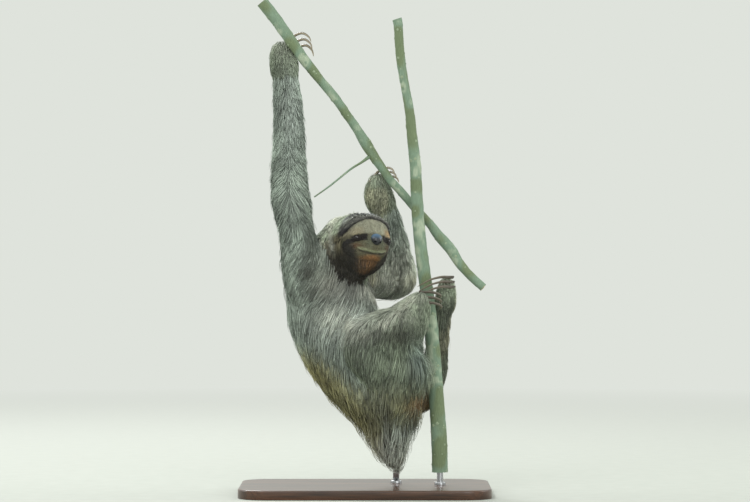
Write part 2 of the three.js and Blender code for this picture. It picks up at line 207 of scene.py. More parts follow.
# The grain runs along the board: long dark pores, and slow bands of figure that make it look like timber.
pores = noise_over(tree, PORES_PER_M, 4)
mixed = node(tree, "ShaderNodeMath", {"operation": "MULTIPLY"})
tree.links.new(mixed.inputs[0], pores)
tree.links.new(mixed.inputs[1], noise_over(tree, FIGURE_PER_M, 2))
stain = between(tree, mixed.outputs["Value"], ("#2a1a12", "#5b3b28"), (0.14, 0.42))
finished(tree, shader, stain, pores, 0.1, 0.4)

chamfer = BOARD["chamfer"]
rings = [board_ring(chamfer + 1, 0), board_ring(chamfer, 0), board_ring(0, chamfer)]
rings += [board_ring(inset, BOARD["thickness"] - drop) for drop, inset in rounded_edge(BOARD["round"])]
rings += [board_ring(BOARD["round"] + 4, BOARD["thickness"])]
piece("stand_board", lofted("stand_board", rings), wood, "stand_wood", "stand_base")

steel, tree, shader = material_of("stainless steel, brushed", Metallic=1.0, Roughness=0.3)
# Brushed along its length: fine scratches 0.4 mm apart break up the highlight, and the grey varies a little.
scratches = noise_over(tree, SCRATCHES_PER_M, 3)
finished(tree, shader, between(tree, scratches, ("#8b8d90", "#c3c5c7")), scratches, 0.05, 0.5)

for name, (x, y, top) in RODS.items():
    foot = BOARD["thickness"]
    collar = [circle(x, y, COLLAR["radius"], foot - 1), circle(x, y, COLLAR["radius"], foot + 0.5)]
    for drop, inset in rounded_edge(COLLAR["round"]):
        collar.append(circle(x, y, COLLAR["radius"] - inset, foot + COLLAR["height"] - drop))
    collar.append(circle(x, y, ROD_RADIUS + 1, foot + COLLAR["height"]))
    heights = np.linspace(foot, top - 1, 7)
    bar = [circle(x, y, ROD_RADIUS, height) for height in heights]
    bar += [circle(x, y, ROD_RADIUS - 1, top), circle(x, y, ROD_RADIUS - 2, top)]
    rod = f"stand_rod_{name}"
    piece(f"{rod}_turned", lofted(rod, bar, collar), steel, "stand_steel", rod)

# ---------------------------------------------------------------------------------------- perch
# A cut length of a young upright stem, a sloping branch that crosses behind it, and a dead twig. The bark is
# thin and grey-green, with swollen nodes, crusts of lichen and sawn ends that show the pale wood.

# Each row is the middle of the wood and its radius, in mm.
STEM = [(51, 0, 760, 7.8), (53, 0, 750, 7.4), (56.5, 0, 701, 7.2), (64.5, 0, 650, 7), (71, 0, 614, 7.3)]
STEM += [(76.5, 0, 562, 8.6), (81, 0, 522, 9.2), (82.5, 0, 482, 9.6), (85, 0, 442, 9.8), (88.5, 0, 402, 9.9)]
STEM += [(93.5, 0, 362, 10.2), (102, 0, 300, 10.8), (109, 0, 230, 11.3), (114.5, 0, 150, 12)]
STEM += [(118.5, 0, 90, 12.6), (120, 0, 35, 12.8)]
BRANCH = [(-164, -16, 786, 9.6), (-145, -15, 762, 9.4), (-113.6, -12, 718, 8.9), (-96, -10, 693, 8.2)]
BRANCH += [(-71.5, -7, 662, 7.3), (-49.6, -4, 636, 7.1), (-31, -1, 610, 7), (-14.5, 2, 586, 7.2)]
BRANCH += [(2, 5, 560, 8.9), (12.5, 8, 543, 8.2), (27, 11, 522, 6.9), (41, 15, 502, 6.6)]
BRANCH += [(58.5, 20, 483, 6.7), (82, 23, 456, 6.6), (103.5, 23, 433, 6.9), (118, 22, 414, 8)]
BRANCH += [(137, 20, 392, 8.9), (151, 18, 370, 7.6), (169, 15, 349, 6.8), (190, 12, 330, 6.6)]
TWIG = [(11, 7, 543, 4.2), (3, 5, 537, 2.9), (-6, 3.5, 530.5, 2.0), (-24, 1, 519, 1.7), (-56, -6, 493, 1.4)]
TWIG += [(-81, -11, 475, 1.1)]
WOOD_STEP = 2.4
FISSURES_PER_M = (900, 900, 130)  # 1.1 mm apart
BUMPS_PER_M = 70.0
TEARS_PER_M = 420.0  # along the edge of a crust of lichen
TEAR = 2.2 * MM
CRUST_FLATNESS = 0.14


def along_course(rows, count):
    """Places evenly spaced along a smooth curve through the rows. Columns beyond the third go with them."""
    rows = np.array(rows, float)
    rows = np.vstack([2 * rows[0] - rows[1], rows, 2 * rows[-1] - rows[-2]])
    fine = []
    for a, b, c, d in zip(rows, rows[1:], rows[2:], rows[3:]):
        for t in np.linspace(0, 1, 24, endpoint=False):
            pull = (c - a) * t + (2 * a - 5 * b + 4 * c - d) * t**2 + (3 * b - a - 3 * c + d) * t**3
            fine.append(b + pull / 2)
    fine = np.array(fine + [rows[-2]])
    travelled = np.concatenate([[0], np.cumsum(np.linalg.norm(np.diff(fine[:, :3], axis=0), axis=1))])
    stops = np.linspace(0, travelled[-1], count)
    return np.column_stack([np.interp(stops, travelled, column) for column in fine.T])


def from_tree(name, tree, base, **values):
    """The plain mesh that a geometry tree makes of a base mesh, with its named inputs set."""
    holder = in_scene(name, base)
    modifier = holder.modifiers.new(name, "NODES")
    modifier.node_group = tree
    sockets = {item.name: item.identifier for item in tree.interface.items_tree if item.in_out == "INPUT"}
    for socket, value in values.items():
        modifier[sockets[socket.replace("_", " ")]] = value
    made = bpy.data.meshes.new_from_object(holder.evaluated_get(bpy.context.evaluated_depsgraph_get()))
    bpy.data.objects.remove(holder)
    return made


def geometry_tree(name, **inputs):
    """A new geometry tree with named inputs, and the node that gives them."""
    tree = bpy.data.node_groups.new(name, "GeometryNodeTree")
    tree.interface.new_socket("Geometry", in_out="INPUT", socket_type="NodeSocketGeometry")
    tree.interface.new_socket("Geometry", in_out="OUTPUT", socket_type="NodeSocketGeometry")
    for socket, kind in inputs.items():
        tree.interface.new_socket(socket.replace("_", " "), in_out="INPUT", socket_type=f"NodeSocket{kind}")
    return tree, node(tree, "NodeGroupInput")


def ended(tree, geometry, material):
    """Ends a geometry tree: real geometry, one material, and the output."""
    real = node(tree, "GeometryNodeRealizeInstances", Geometry=geometry)
    dressed = node(tree, "GeometryNodeSetMaterial", {"Material": material}, Geometry=real.outputs["Geometry"])
    node(tree, "NodeGroupOutput", Geometry=dressed.outputs["Geometry"])


def drift(places, cell, seed):
    """Smooth noise from 0 to 1 that changes over about a cell. Each corner of a grid has a hashed value."""
    at = places / cell + 1000.5
    low = np.floor(at).astype(np.int64)
    part = at - low
    part = part * part * (3 - 2 * part)
    total = np.zeros(len(places))
    for corner in range(8):
        bit = np.array([corner & 1, corner >> 1 & 1, corner >> 2 & 1])
        x, y, z = (low + bit).T
        mixed = (x * 73856093 ^ y * 19349663 ^ z * 83492791 ^ seed * 40503) & 0x7FFFFFFF
        mixed = ((mixed ^ (mixed >> 13)) * 1274126177) & 0x7FFFFFFF
        mixed = ((mixed ^ (mixed >> 15)) * 668265263) & 0x7FFFFFFF
        total += (mixed >> 8) % 4096 / 4095 * np.where(bit, part, 1 - part).prod(axis=1)
    return total


def ramp(values, low, high):
    """0 below `low`, 1 above `high`, and smooth between them."""
    share = np.clip((values - low) / (high - low), 0, 1)
    return share * share * (3 - 2 * share)


def paint(mesh, colours, layer_name="Coat"):
    layer = mesh.color_attributes.new(layer_name, "FLOAT_COLOR", "POINT")
    layer.data.foreach_set("color", np.column_stack([colours, np.ones(len(colours))]).ravel())


def read_mesh(mesh):
    """A mesh's places, triangles and edges as arrays."""
    mesh.calc_loop_triangles()
    places = np.empty(len(mesh.vertices) * 3)
    mesh.vertices.foreach_get("co", places)
    faces = np.empty(len(mesh.loop_triangles) * 3, np.int64)
    mesh.loop_triangles.foreach_get("vertices", faces)
    edges = np.empty(len(mesh.edges) * 2, np.int64)
    mesh.edges.foreach_get("vertices", edges)
    return places.reshape(-1, 3), faces.reshape(-1, 3), edges.reshape(-1, 2)


bark, tree, shader = material_of("thin bark of a young stem, with sawn ends", Roughness=0.82)
# Fine fissures 1.1 mm apart run with the stem, and the sawn ends show rings 1.3 mm apart.
marks = node(tree, "ShaderNodeAttribute", {"attribute_name": "Bark"})
pith = node(tree, "ShaderNodeAttribute", {"attribute_name": "From pith"})
fissures = noise_over(tree, FISSURES_PER_M, 4)
years = node(tree, "ShaderNodeMath", {"operation": "SINE"}, Value=pith.outputs["Fac"])
lined = varied(tree, marks.outputs["Color"], fissures, 0.62, 1.35)
ringed = varied(tree, lined, years.outputs["Value"], 0.86, 1.1, lowest=-1.0)
finished(tree, shader, ringed, fissures, 0.7, 0.6)

# A length of wood: the profile follows the course, and its bark is a little uneven.
length_tree, start = geometry_tree("cut length of wood", Sides="Int", Relief="Float", Relief_size="Float")
line = node(length_tree, "GeometryNodeMeshToCurve", Mesh=start.outputs["Geometry"])
section = node(length_tree, "GeometryNodeCurvePrimitiveCircle", Resolution=start.outputs["Sides"])
thickness = node(length_tree, "GeometryNodeInputNamedAttribute", {"data_type": "FLOAT", "Name": "Radius"})
swept = node(
    length_tree,
    "GeometryNodeCurveToMesh",
    {"Fill Caps": True},
    Curve=line.outputs["Curve"],
    Profile_Curve=section.outputs["Curve"],
    Scale=thickness.outputs["Attribute"],
)
cells = node(length_tree, "ShaderNodeTexNoise", {"Detail": 2}, Scale=start.outputs["Relief size"])
uneven = node(length_tree, "ShaderNodeMapRange", {"To Min": -1.0, "To Max": 1.0}, Value=cells.outputs["Fac"])
amount = node(length_tree, "ShaderNodeMath", {"operation": "MULTIPLY"})
length_tree.links.new(amount.inputs[0], uneven.outputs["Result"])
length_tree.links.new(amount.inputs[1], start.outputs["Relief"])
facing = node(length_tree, "GeometryNodeInputNormal")
push = node(length_tree, "ShaderNodeVectorMath", {"operation": "SCALE"}, Vector=facing.outputs["Normal"])
length_tree.links.new(push.inputs["Scale"], amount.outputs["Value"])
rough = node(length_tree, "GeometryNodeSetPosition", Geometry=swept.outputs["Mesh"])
length_tree.links.new(rough.inputs["Offset"], push.outputs["Vector"])
ended(length_tree, rough.outputs["Geometry"], bark)

# Lichen: low crusts strewn over the bark, each with an uneven edge. Grains 0.8 mm apart make it look powdery.
crust, tree, shader = material_of("crusted lichen, dry and powdery", Roughness=0.95)
grains = noise_over(tree, [1 / (0.8 * MM)] * 3, 3)
finished(tree, shader, between(tree, grains, ("#74836a", "#98a58a")), grains, 0.4, 0.6)

lichen_tree, start = geometry_tree(
    "crusts of lichen", Per_m2="Float", Smallest="Float", Largest="Float", Seed="Int"
)
strewn = node(
    lichen_tree,
    "GeometryNodeDistributePointsOnFaces",
    Mesh=start.outputs["Geometry"],
    Density=start.outputs["Per m2"],
    Seed=start.outputs["Seed"],
)
pebble = node(lichen_tree, "GeometryNodeMeshIcoSphere", {"Subdivisions": 2, "Radius": 1.0})
low_crust = {"Scale": (1, 1, CRUST_FLATNESS)}
flat = node(lichen_tree, "GeometryNodeTransform", low_crust, Geometry=pebble.outputs["Mesh"])
sizes = node(lichen_tree, "FunctionNodeRandomValue", {"data_type": "FLOAT"})
lichen_tree.links.new(sizes.inputs[2], start.outputs["Smallest"])
lichen_tree.links.new(sizes.inputs[3], start.outputs["Largest"])
set_down = node(
    lichen_tree,
    "GeometryNodeInstanceOnPoints",
    Points=strewn.outputs["Points"],
    Instance=flat.outputs["Geometry"],
    Rotation=strewn.outputs["Rotation"],
    Scale=sizes.outputs[1],
)
crusts = node(lichen_tree, "GeometryNodeRealizeInstances", Geometry=set_down.outputs["Instances"])
tears = node(lichen_tree, "ShaderNodeTexNoise", {"Scale": TEARS_PER_M, "Detail": 2})
centred = node(lichen_tree, "ShaderNodeVectorMath", {"operation": "SUBTRACT"}, Vector=tears.outputs["Color"])
centred.inputs[1].default_value = (0.5, 0.5, 0.5)
ragged = node(lichen_tree, "ShaderNodeVectorMath", {"operation": "SCALE", "Scale": TEAR})
lichen_tree.links.new(ragged.inputs[0], centred.outputs["Vector"])
torn = node(lichen_tree, "GeometryNodeSetPosition", Geometry=crusts.outputs["Geometry"])
lichen_tree.links.new(torn.inputs["Offset"], ragged.outputs["Vector"])
ended(lichen_tree, torn.outputs["Geometry"], crust)

BARK = {"plain": "#708570", "mossy": "#667455", "pale": "#96a38c"}
BARK = {name: linear(code) for name, code in BARK.items()}
SAWN_WOOD = linear("#c4ac82")
RING_SPACING = 1.3
LICHEN = {"Per_m2": 3500.0, "Smallest": 0.7 * MM, "Largest": 2.6 * MM}
SAWN_RINGS = (0.06, 0.04, 0.4)  # as shares of the radius: bark, the wood's edge, and its inner rings
# For each length of wood: its course, how many sides it has, and the relief of its bark.
wood_rows = {
    "perch_stem": (STEM, 44, 1.0 * MM),
    "perch_branch": (BRANCH, 36, 1.0 * MM),
    "perch_twig": (TWIG, 10, 0.3 * MM),
}
for seed, (name, (rows, sides, relief)) in enumerate(wood_rows.items()):
    long = sum(math.dist(a[:3], b[:3]) for a, b in zip(rows, rows[1:]))
    course = along_course(rows, int(long / WOOD_STEP))
    line_mesh = bpy.data.meshes.new(name)
    line_mesh.from_pydata((course[:, :3] * MM).tolist(), [(i, i + 1) for i in range(len(course) - 1)], [])
    line_mesh.attributes.new("Radius", "FLOAT", "POINT").data.foreach_set("value", course[:, 3] * MM)
    made = from_tree(name, length_tree, line_mesh, Sides=sides, Relief=relief, Relief_size=BUMPS_PER_M)
    if name != "perch_twig":
        crusts = from_tree("lichen", lichen_tree, made, **LICHEN, Seed=seed)
        piece(f"lichen_on_{name}", crusts, crust, "bark")
    # Each sawn end is cut into rings, so that the pale wood and its year rings can be painted on it.
    cut = bmesh.new()
    cut.from_mesh(made)
    bmesh.ops.recalc_face_normals(cut, faces=cut.faces)
    sawn, ends = set(), [face for face in cut.faces if len(face.verts) > 4]
    middles = [face.calc_center_median() for face in ends]
    radius = course[[0, -1], 3].min() * MM
    for share in SAWN_RINGS:
        bmesh.ops.inset_individual(cut, faces=ends, thickness=radius * share)
        if share != SAWN_RINGS[0]:
            sawn |= {vertex for face in ends for vertex in face.verts}
    cut.verts.index_update()
    sawn = [vertex.index for vertex in sawn]
    cut.to_mesh(made)
    cut.free()
    spots = read_mesh(made)[0]
    blotch, patch = drift(spots, 0.022, 31 + seed), drift(spots, 0.007, 41 + seed)
    tint = BARK["plain"] + (BARK["mossy"] - BARK["plain"]) * ramp(blotch, 0.5, 0.75)[:, None]
    tint += (BARK["pale"] - tint) * (ramp(-blotch, -0.48, -0.3) * ramp(patch, 0.3, 0.6))[:, None]
    tint[sawn] = SAWN_WOOD
    paint(made, tint, "Bark")
    from_pith = np.zeros(len(spots))
    for middle in middles:
        away = np.linalg.norm(spots[sawn] - middle, axis=1)
        from_pith[sawn] = np.where(away < 0.02, away / MM * math.tau / RING_SPACING, from_pith[sawn])
    made.attributes.new("From pith", "FLOAT", "POINT").data.foreach_set("value", from_pith)
    piece(f"{name}_wood", made, bark, "bark", name)

# ---------------------------------------------------------------------------------------- hide
# One sculpted skin over head, trunk, tail and limbs, so that no seam shows between them. It is drawn in from
# the tips of the coat by the depth of the hair there, and the face is modelled into it.

LIMB_PARTS = ("upper_arm", "forearm", "hand", "thigh", "shin", "foot")
FLESH = ["head", "neck", "trunk", "tail"]
FLESH += [f"{side}_{part}" for side in ("right", "left") for part in LIMB_PARTS]
SWELL = 0.0007  # closes the thin cuts between the solids
SKIN_CELL = 0.0034
COAT_DEPTH = {
    "head": 0.0075,
    "neck": 0.010,
    "trunk": 0.013,
    "tail": 0.012,
    "upper_arm": 0.010,
    "forearm": 0.009,
    "hand": 0.005,
    "thigh": 0.012,
    "shin": 0.009,
    "foot": 0.005,
}
FACE_DEPTH = 0.0030
THINNEST = 0.27  # the coat is never deeper than this share of the flesh under it

HEAD_AT = np.array((-0.008, -0.028, 0.397))
HEAD_TURN = np.array(
    Matrix.Rotation(math.radians(7), 3, "Y")
    @ Matrix.Rotation(math.radians(180 + 28), 3, "Z")
    @ Matrix.Rotation(math.radians(18), 3, "X")
)


def into_head(places):
    """Places in the head's own frame, in mm: x to the sloth's right, y out of the face, z up."""
    return (places - HEAD_AT) @ HEAD_TURN / MM


def out_of_head(places):
    return places * MM @ HEAD_TURN.T + HEAD_AT


def unit(vectors):
    return vectors / np.maximum(np.linalg.norm(vectors, axis=-1, keepdims=True), 1e-12)


def hump(values, centre, reach):
    return np.exp(-(((values - centre) / reach) ** 2))


def evened(values, edges, shares):
    """Each vertex's value drawn towards the mean of its neighbours', once for each share."""
    size = len(values)
    count = np.maximum(np.bincount(edges.ravel(), minlength=size), 1)
    for share in shares:
        around = np.empty_like(values)
        for axis in range(values.shape[1]):
            column = values[:, axis]
            around[:, axis] = np.bincount(edges[:, 0], column[edges[:, 1]], size)
            around[:, axis] += np.bincount(edges[:, 1], column[edges[:, 0]], size)
        values = values + share * (around / count[:, None] - values)
    return values


def outward(places, faces):
    """The outward direction at each vertex of a mesh of triangles."""
    a, b, c = (places[faces[:, i]] for i in range(3))
    flat = np.cross(b - a, c - a)
    total = np.zeros_like(places)
    for corner in range(3):
        for axis in range(3):
            total[:, axis] += np.bincount(faces[:, corner], flat[:, axis], len(places))
    return unit(total)


# Join the solids of flesh, with the eyes and nose to fill their hollows, into one closed skin.
joined = bmesh.new()
for name in [*FLESH, "right_eye", "left_eye", "nose"]:
    solid = bmesh.new()
    solid.from_mesh(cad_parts[name].data)
    bmesh.ops.remove_doubles(solid, verts=solid.verts, dist=1e-5)
    solid.normal_update()
    for vertex in solid.verts:
        vertex.co += vertex.normal * SWELL
    scrap = bpy.data.meshes.new("scrap")
    solid.to_mesh(scrap)
    joined.from_mesh(scrap)
    solid.free()
    bpy.data.meshes.remove(scrap)
flesh_mesh = bpy.data.meshes.new("flesh")
joined.to_mesh(flesh_mesh)
joined.free()
flesh = in_scene("flesh", flesh_mesh)
remesh = flesh.modifiers.new("one_skin", "REMESH")
remesh.mode = "VOXEL"
remesh.voxel_size = SKIN_CELL
skin_mesh = bpy.data.meshes.new_from_object(flesh.evaluated_get(bpy.context.evaluated_depsgraph_get()))
bpy.data.objects.remove(flesh)

places, faces, edges = read_mesh(skin_mesh)
SMOOTHING = [0.5, -0.53] * 24  # rounds the facets off without shrinking the form
coat_tips = evened(places, edges, SMOOTHING)


def solids_tree(names):
    """A tree of the triangles of these nodes' solids, and which node each triangle belongs to."""
    spots, triangles, owner = [], [], []
    for index, name in enumerate(names):
        one_places, one_faces, _ = read_mesh(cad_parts[name].data)
        triangles += (one_faces + len(spots)).tolist()
        spots += one_places.tolist()
        owner += [index] * len(one_faces)
    return BVHTree.FromPolygons(spots, triangles), np.array(owner)


# Which solid each vertex lies on, and so how deep the coat is there.
solids, solid_owner = solids_tree(FLESH)


def owner_of(spots):
    """The index in FLESH of the solid nearest to each spot."""
    return solid_owner[[solids.find_nearest(spot)[2] for spot in spots.tolist()]]


# The face is the oval inside the edge of the hood of long hair. `hood` tells how far outside it a place is.
FACE_OVAL = (40, 31)  # mm
FACE_MEAN = 37  # about the oval's mean radius, mm


def hood(q):
    return (np.hypot(q[:, 0] / FACE_OVAL[0], q[:, 2] / FACE_OVAL[1]) - 1) * FACE_MEAN


def face_share(q):
    """1 on the face, 0 on the hood and behind it, with a soft edge on cheeks and throat."""
    return ramp(-hood(q), -5, 3) * ramp(q[:, 1], 6, 20)


PART_OF = np.array([name.replace("right_", "").replace("left_", "") for name in FLESH])
depth = np.array([COAT_DEPTH[part] for part in PART_OF])[owner_of(coat_tips)]
depth += (FACE_DEPTH - depth) * face_share(into_head(coat_tips))
way_out = outward(coat_tips, faces)
depth *= 1 - 0.6 * ramp(way_out[:, 2], 0.2, 0.9)  # hair hangs away from the tops, and barely rises on them
tips_tree = BVHTree.FromPolygons(coat_tips.tolist(), faces.tolist())
for index, (spot, way) in enumerate(zip((coat_tips - way_out * 1e-4).tolist(), (-way_out).tolist())):
    across = tips_tree.ray_cast(spot, way)[3]
    if across:
        depth[index] = min(depth[index], THINNEST * across)
depth = evened(depth[:, None], edges, [0.5] * 12)
way_out = unit(evened(way_out, edges, [0.5] * 4))
places = evened(coat_tips - way_out * depth, edges, [0.5, -0.53] * 4)
skin_mesh.vertices.foreach_set("co", places.ravel())

# A finer mesh where the face is modelled, and finer again round the eyes.
EYE_RADIUS = 0.0056
eye_centres = {}
for name in ("right_eye", "left_eye"):
    low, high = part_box(name)
    eye_centres[name] = np.array((low + high) / 2)
sculpt = bmesh.new()
sculpt.from_mesh(skin_mesh)


def refined(inside):
    """Splits the faces whose middle is inside."""
    spots = np.array([face.calc_center_median() for face in sculpt.faces])
    sculpt.faces.ensure_lookup_table()
    chosen = [sculpt.faces[i] for i in np.flatnonzero(inside(spots))]
    rims = list({edge for face in chosen for edge in face.edges})
    bmesh.ops.subdivide_edges(sculpt, edges=rims, cuts=1, use_grid_fill=True)


def on_face(spots):
    q = into_head(spots)
    return (hood(q) < 4) & (q[:, 1] > 12)


def by_an_eye(spots):
    return np.min([np.linalg.norm(spots - c, axis=1) for c in eye_centres.values()], axis=0) < 0.013


refined(on_face)
refined(on_face)
refined(by_an_eye)
bmesh.ops.triangulate(sculpt, faces=sculpt.faces)
sculpt.to_mesh(skin_mesh)
sculpt.free()
places, faces, edges = read_mesh(skin_mesh)
smooth_all = evened(places, edges, [0.5] * 6)
face_only = on_face(places)
places[face_only] = smooth_all[face_only]

# Model the muzzle, mouth, brow and cheeks: how far each place moves outwards, in mm.
q = into_head(places)
side, up = np.abs(q[:, 0]), q[:, 2]
front = ramp(q[:, 1], 8, 22)


def mouth_line(side):
    """The mouth curves up at its corners, as if it smiled."""
    return -23.8 + 0.0125 * side**2


swelling = -1.7 * hump(side, 18, 5) * hump(up, -1, 6)  # the inner corners of the eyes
swelling += 1.1 * hump(up, 10 - 0.004 * side**2, 4) * ramp(side, 6, 14) * ramp(-side, -38, -30)
swelling += 1.0 * hump(side, 0, 5) * ramp(up, -2, 6) * ramp(-up, -24, -12)  # the bridge of the nose
swelling += 1.6 * hump(side, 33, 10) * hump(up, -22, 9)  # cheeks
swelling += 1.5 * hump(side, 8.5, 6) * hump(up, -18, 4)  # upper lip
swelling += 1.2 * hump(side, 0, 12) * hump(up, -29, 4)  # lower lip
swelling -= 2.4 * hump(up, mouth_line(side), 1.3) * ramp(-side, -26, -20)  # the mouth
swelling -= 0.9 * hump(side, 0, 0.9) * hump(up, -19, 4)  # the groove under the nose
swelling -= 1.0 * hump(side, 24, 5) * hump(up, -13, 4)  # hollow under each eye
swelling -= 3.5 * hump(side, 0, 5.5) * hump(up, -6.5, 5.0)  # room under the nose pad
places += outward(places, faces) * (swelling * front * MM)[:, None]

# Lids lie over each eyeball and open in an almond. Its edge is set exactly on a row of vertices.
LID = 0.0009
OPENING = {"half_width": 0.0046, "above": 0.0027, "below": 0.0021}
EYE_OUT = 0.62  # how far each eye is turned to its side
EYE_DOWN = -0.16
eye_frames = {}
for name, centre in eye_centres.items():
    sign = 1 if name == "right_eye" else -1
    out = unit(np.array((sign * EYE_OUT, 0.8, EYE_DOWN)))
    wide = unit(np.cross(out, (0, 0, sign)) + np.array((0, 0, -0.16)))
    high = np.cross(wide, out) * sign
    eye_frames[name] = [centre] + [axis @ HEAD_TURN.T for axis in (out, wide, high)]


def in_eye(spots, name):
    """Places in an eye's frame: out of the eye, towards its outer corner, and up."""
    centre, *axes = eye_frames[name]
    return [(spots - centre) @ axis for axis in axes]


def lid_edge(wide, upper):
    bow = np.clip(1 - (wide / OPENING["half_width"]) ** 2, 0, 1) ** 0.8
    return bow * np.where(upper, OPENING["above"], -OPENING["below"])


def in_opening(spots, margin):
    """Whether each place is in front of an eye, within the almond swollen by a margin."""
    found = np.zeros(len(spots), bool)
    for name in eye_frames:
        out, wide, high = in_eye(spots, name)
        edge = lid_edge(wide * OPENING["half_width"] / (OPENING["half_width"] + margin), high > 0)
        found |= (np.abs(high) < np.abs(edge) + margin * (np.abs(edge) > 0)) & (out > 0) & (out < 0.03)
    return found


EDGE_CATCH = 0.00042
LID_REACH = 0.0125  # from the eye's axis to where the lid ends in the face
LID_BLEND = 0.0022
UNDER_EYE = 0.0014  # how far under the eyeball the hide passes in the opening
for name in eye_frames:
    centre, *axes = eye_frames[name]
    out, wide, high = in_eye(places, name)
    from_axis = np.hypot(wide, high)
    by_lid = (from_axis < LID_REACH) & (out > -0.001)
    edge = lid_edge(wide, high > 0)
    caught = by_lid & (np.abs(wide) < OPENING["half_width"]) & (np.abs(high - edge) < EDGE_CATCH)
    high = np.where(caught, edge, high)
    from_axis = np.hypot(wide, high)
    lid_radius = EYE_RADIUS + LID
    ball = np.sqrt(np.maximum(lid_radius**2 - from_axis**2, 0))
    ball -= 0.012 * ramp(from_axis, 0.9 * lid_radius, 1.3 * lid_radius)
    meet = np.maximum(LID_BLEND - np.abs(out - ball), 0) / LID_BLEND
    lids = np.maximum(out, ball) + meet**2 * LID_BLEND / 4
    eased = ramp(-from_axis, -LID_REACH, -0.0085)
    lifted = out + (lids - out) * eased
    sunk = np.sqrt(np.maximum(EYE_RADIUS**2 - from_axis**2, 0)) - UNDER_EYE
    opened = (np.abs(high) < np.abs(edge)) & ~caught & (np.abs(wide) < OPENING["half_width"])
    out = np.where(by_lid, np.where(opened, sunk, lifted), out)
    moved = centre + sum(part[:, None] * axis for part, axis in zip((out, wide, high), axes))
    places[by_lid] = moved[by_lid]

skin_mesh.vertices.foreach_set("co", places.ravel())
skin_normals = outward(places, faces)
skin_owner = owner_of(places)
skin_tree = BVHTree.FromPolygons(places.tolist(), faces.tolist())

# ---------------------------------------------------------------------------------------- markings
# The colours of the coat, which the hide under it shares. On the head they go by the head's own frame: a dark
# fringe over a pale brow, dark stripes through the eyes, a pale lip, an orange-brown chin and a dark throat.


def near(places, centre, reach):
    """1 at a centre, falling off over a reach, which may differ along each axis."""
    return np.exp(-(((places - np.array(centre)) / np.array(reach)) ** 2).sum(axis=1))


COAT = {
    "grey": "#8b968b",
    "pale": "#b3bdb6",
    "low back": "#8a8456",
    "rump": "#747252",
    "rust": "#7a5a38",
    # the chest's own mauve-grey, darkened as painted shade under the head
    "chest": "#6f6a62",
    # dark fur, and painted shade under the near shin, by the far feet and between rump and tail
    "dark fur and shade": "#43453b",
    "tail": "#8b948a",
    "leg": "#798470",
    # painted shade, bluish, in the groin between thigh and stem
    "groin shade": "#68767a",
    "hand": "#7d8774",
    "cream": "#b7b295",
    # a pale colour: painted highlight on sunlit tips and the lit flank, and the real cream band on the hood
    "pale_and_highlight": "#d3d5c6",
    # painted light for the far arm, which lies in the head's shadow
    "far arm": "#c4c6b8",
    "crown": "#98a48d",
    # painted highlight on the top of the rolled fringe
    "rim": "#706d80",
    "fringe": "#29252c",
    "temple": "#5f5a47",
    "brow": "#a0a08b",
    "peach": "#b59a72",
    "stripe": "#1f1a15",
    "under eye": "#6f6a52",
    "russet": "#66452f",
    "muzzle": "#777a64",
    "lip": "#b3b795",
    "chin": "#a1764b",
    "cheek": "#2f2c24",
    "throat": "#211f1b",
    "mouth": "#241e19",
}
COAT = {name: linear(code) for name, code in COAT.items()}


def laid_over(colours, name, share):
    return colours + (COAT[name] - colours) * np.clip(share, 0, 1)[:, None]


# Patches on the body, each laid over the ones before it: colour, strength, centre and reach.
CHEST_PATCHES = [
    # Painted light: the flank, where it faces the light, is painted pale.
    ("pale", 0.9, (-0.045, -0.075, 0.275), (0.05, 0.06, 0.038)),
    ("pale", 0.5, (-0.115, -0.03, 0.60), (0.02, 0.05, 0.07)),
    # Painted highlight on the lit flank.
    ("pale_and_highlight", 0.6, (-0.052, -0.08, 0.278), (0.036, 0.05, 0.026)),
    # Painted shade on the chest and shoulder under the head, over the chest's own mauve-grey.
    ("chest", 0.9, (-0.005, -0.03, 0.338), (0.05, 0.10, 0.034)),
    ("chest", 0.6, (-0.060, -0.07, 0.330), (0.03, 0.06, 0.024)),
    # Painted light: the far arm, in the shadow of the head, is painted pale.
    ("far arm", 0.9, (0.050, 0.07, 0.345), (0.05, 0.05, 0.05)),
]
FLANK_PATCHES = [
    ("dark fur and shade", 0.55, (-0.083, -0.06, 0.40), (0.012, 0.05, 0.06)),
    # Painted shade under the near shin.
    ("dark fur and shade", 0.9, (0.052, -0.07, 0.253), (0.036, 0.06, 0.015)),
    ("dark fur and shade", 0.85, (-0.004, -0.09, 0.252), (0.026, 0.06, 0.014)),
    ("dark fur and shade", 0.5, (-0.024, -0.08, 0.225), (0.022, 0.06, 0.032)),
    # Painted shade in the groin, between the thigh and the stem.
    ("groin shade", 0.7, (0.085, -0.03, 0.205), (0.018, 0.06, 0.035)),
]
LAST_PATCHES = [
    # Painted shade in the parting between rump and tail.
    ("dark fur and shade", 0.6, (0.036, -0.05, 0.098), (0.006, 0.06, 0.026)),
    ("rust", 0.9, (0.088, -0.01, 0.138), (0.026, 0.07, 0.014)),
    ("dark fur and shade", 0.9, (-0.092, -0.08, 0.353), (0.016, 0.04, 0.012)),
]


def patched(colours, places, patches):
    for name, strength, centre, reach in patches:
        colours = laid_over(colours, name, strength * near(places, centre, reach))
    return colours


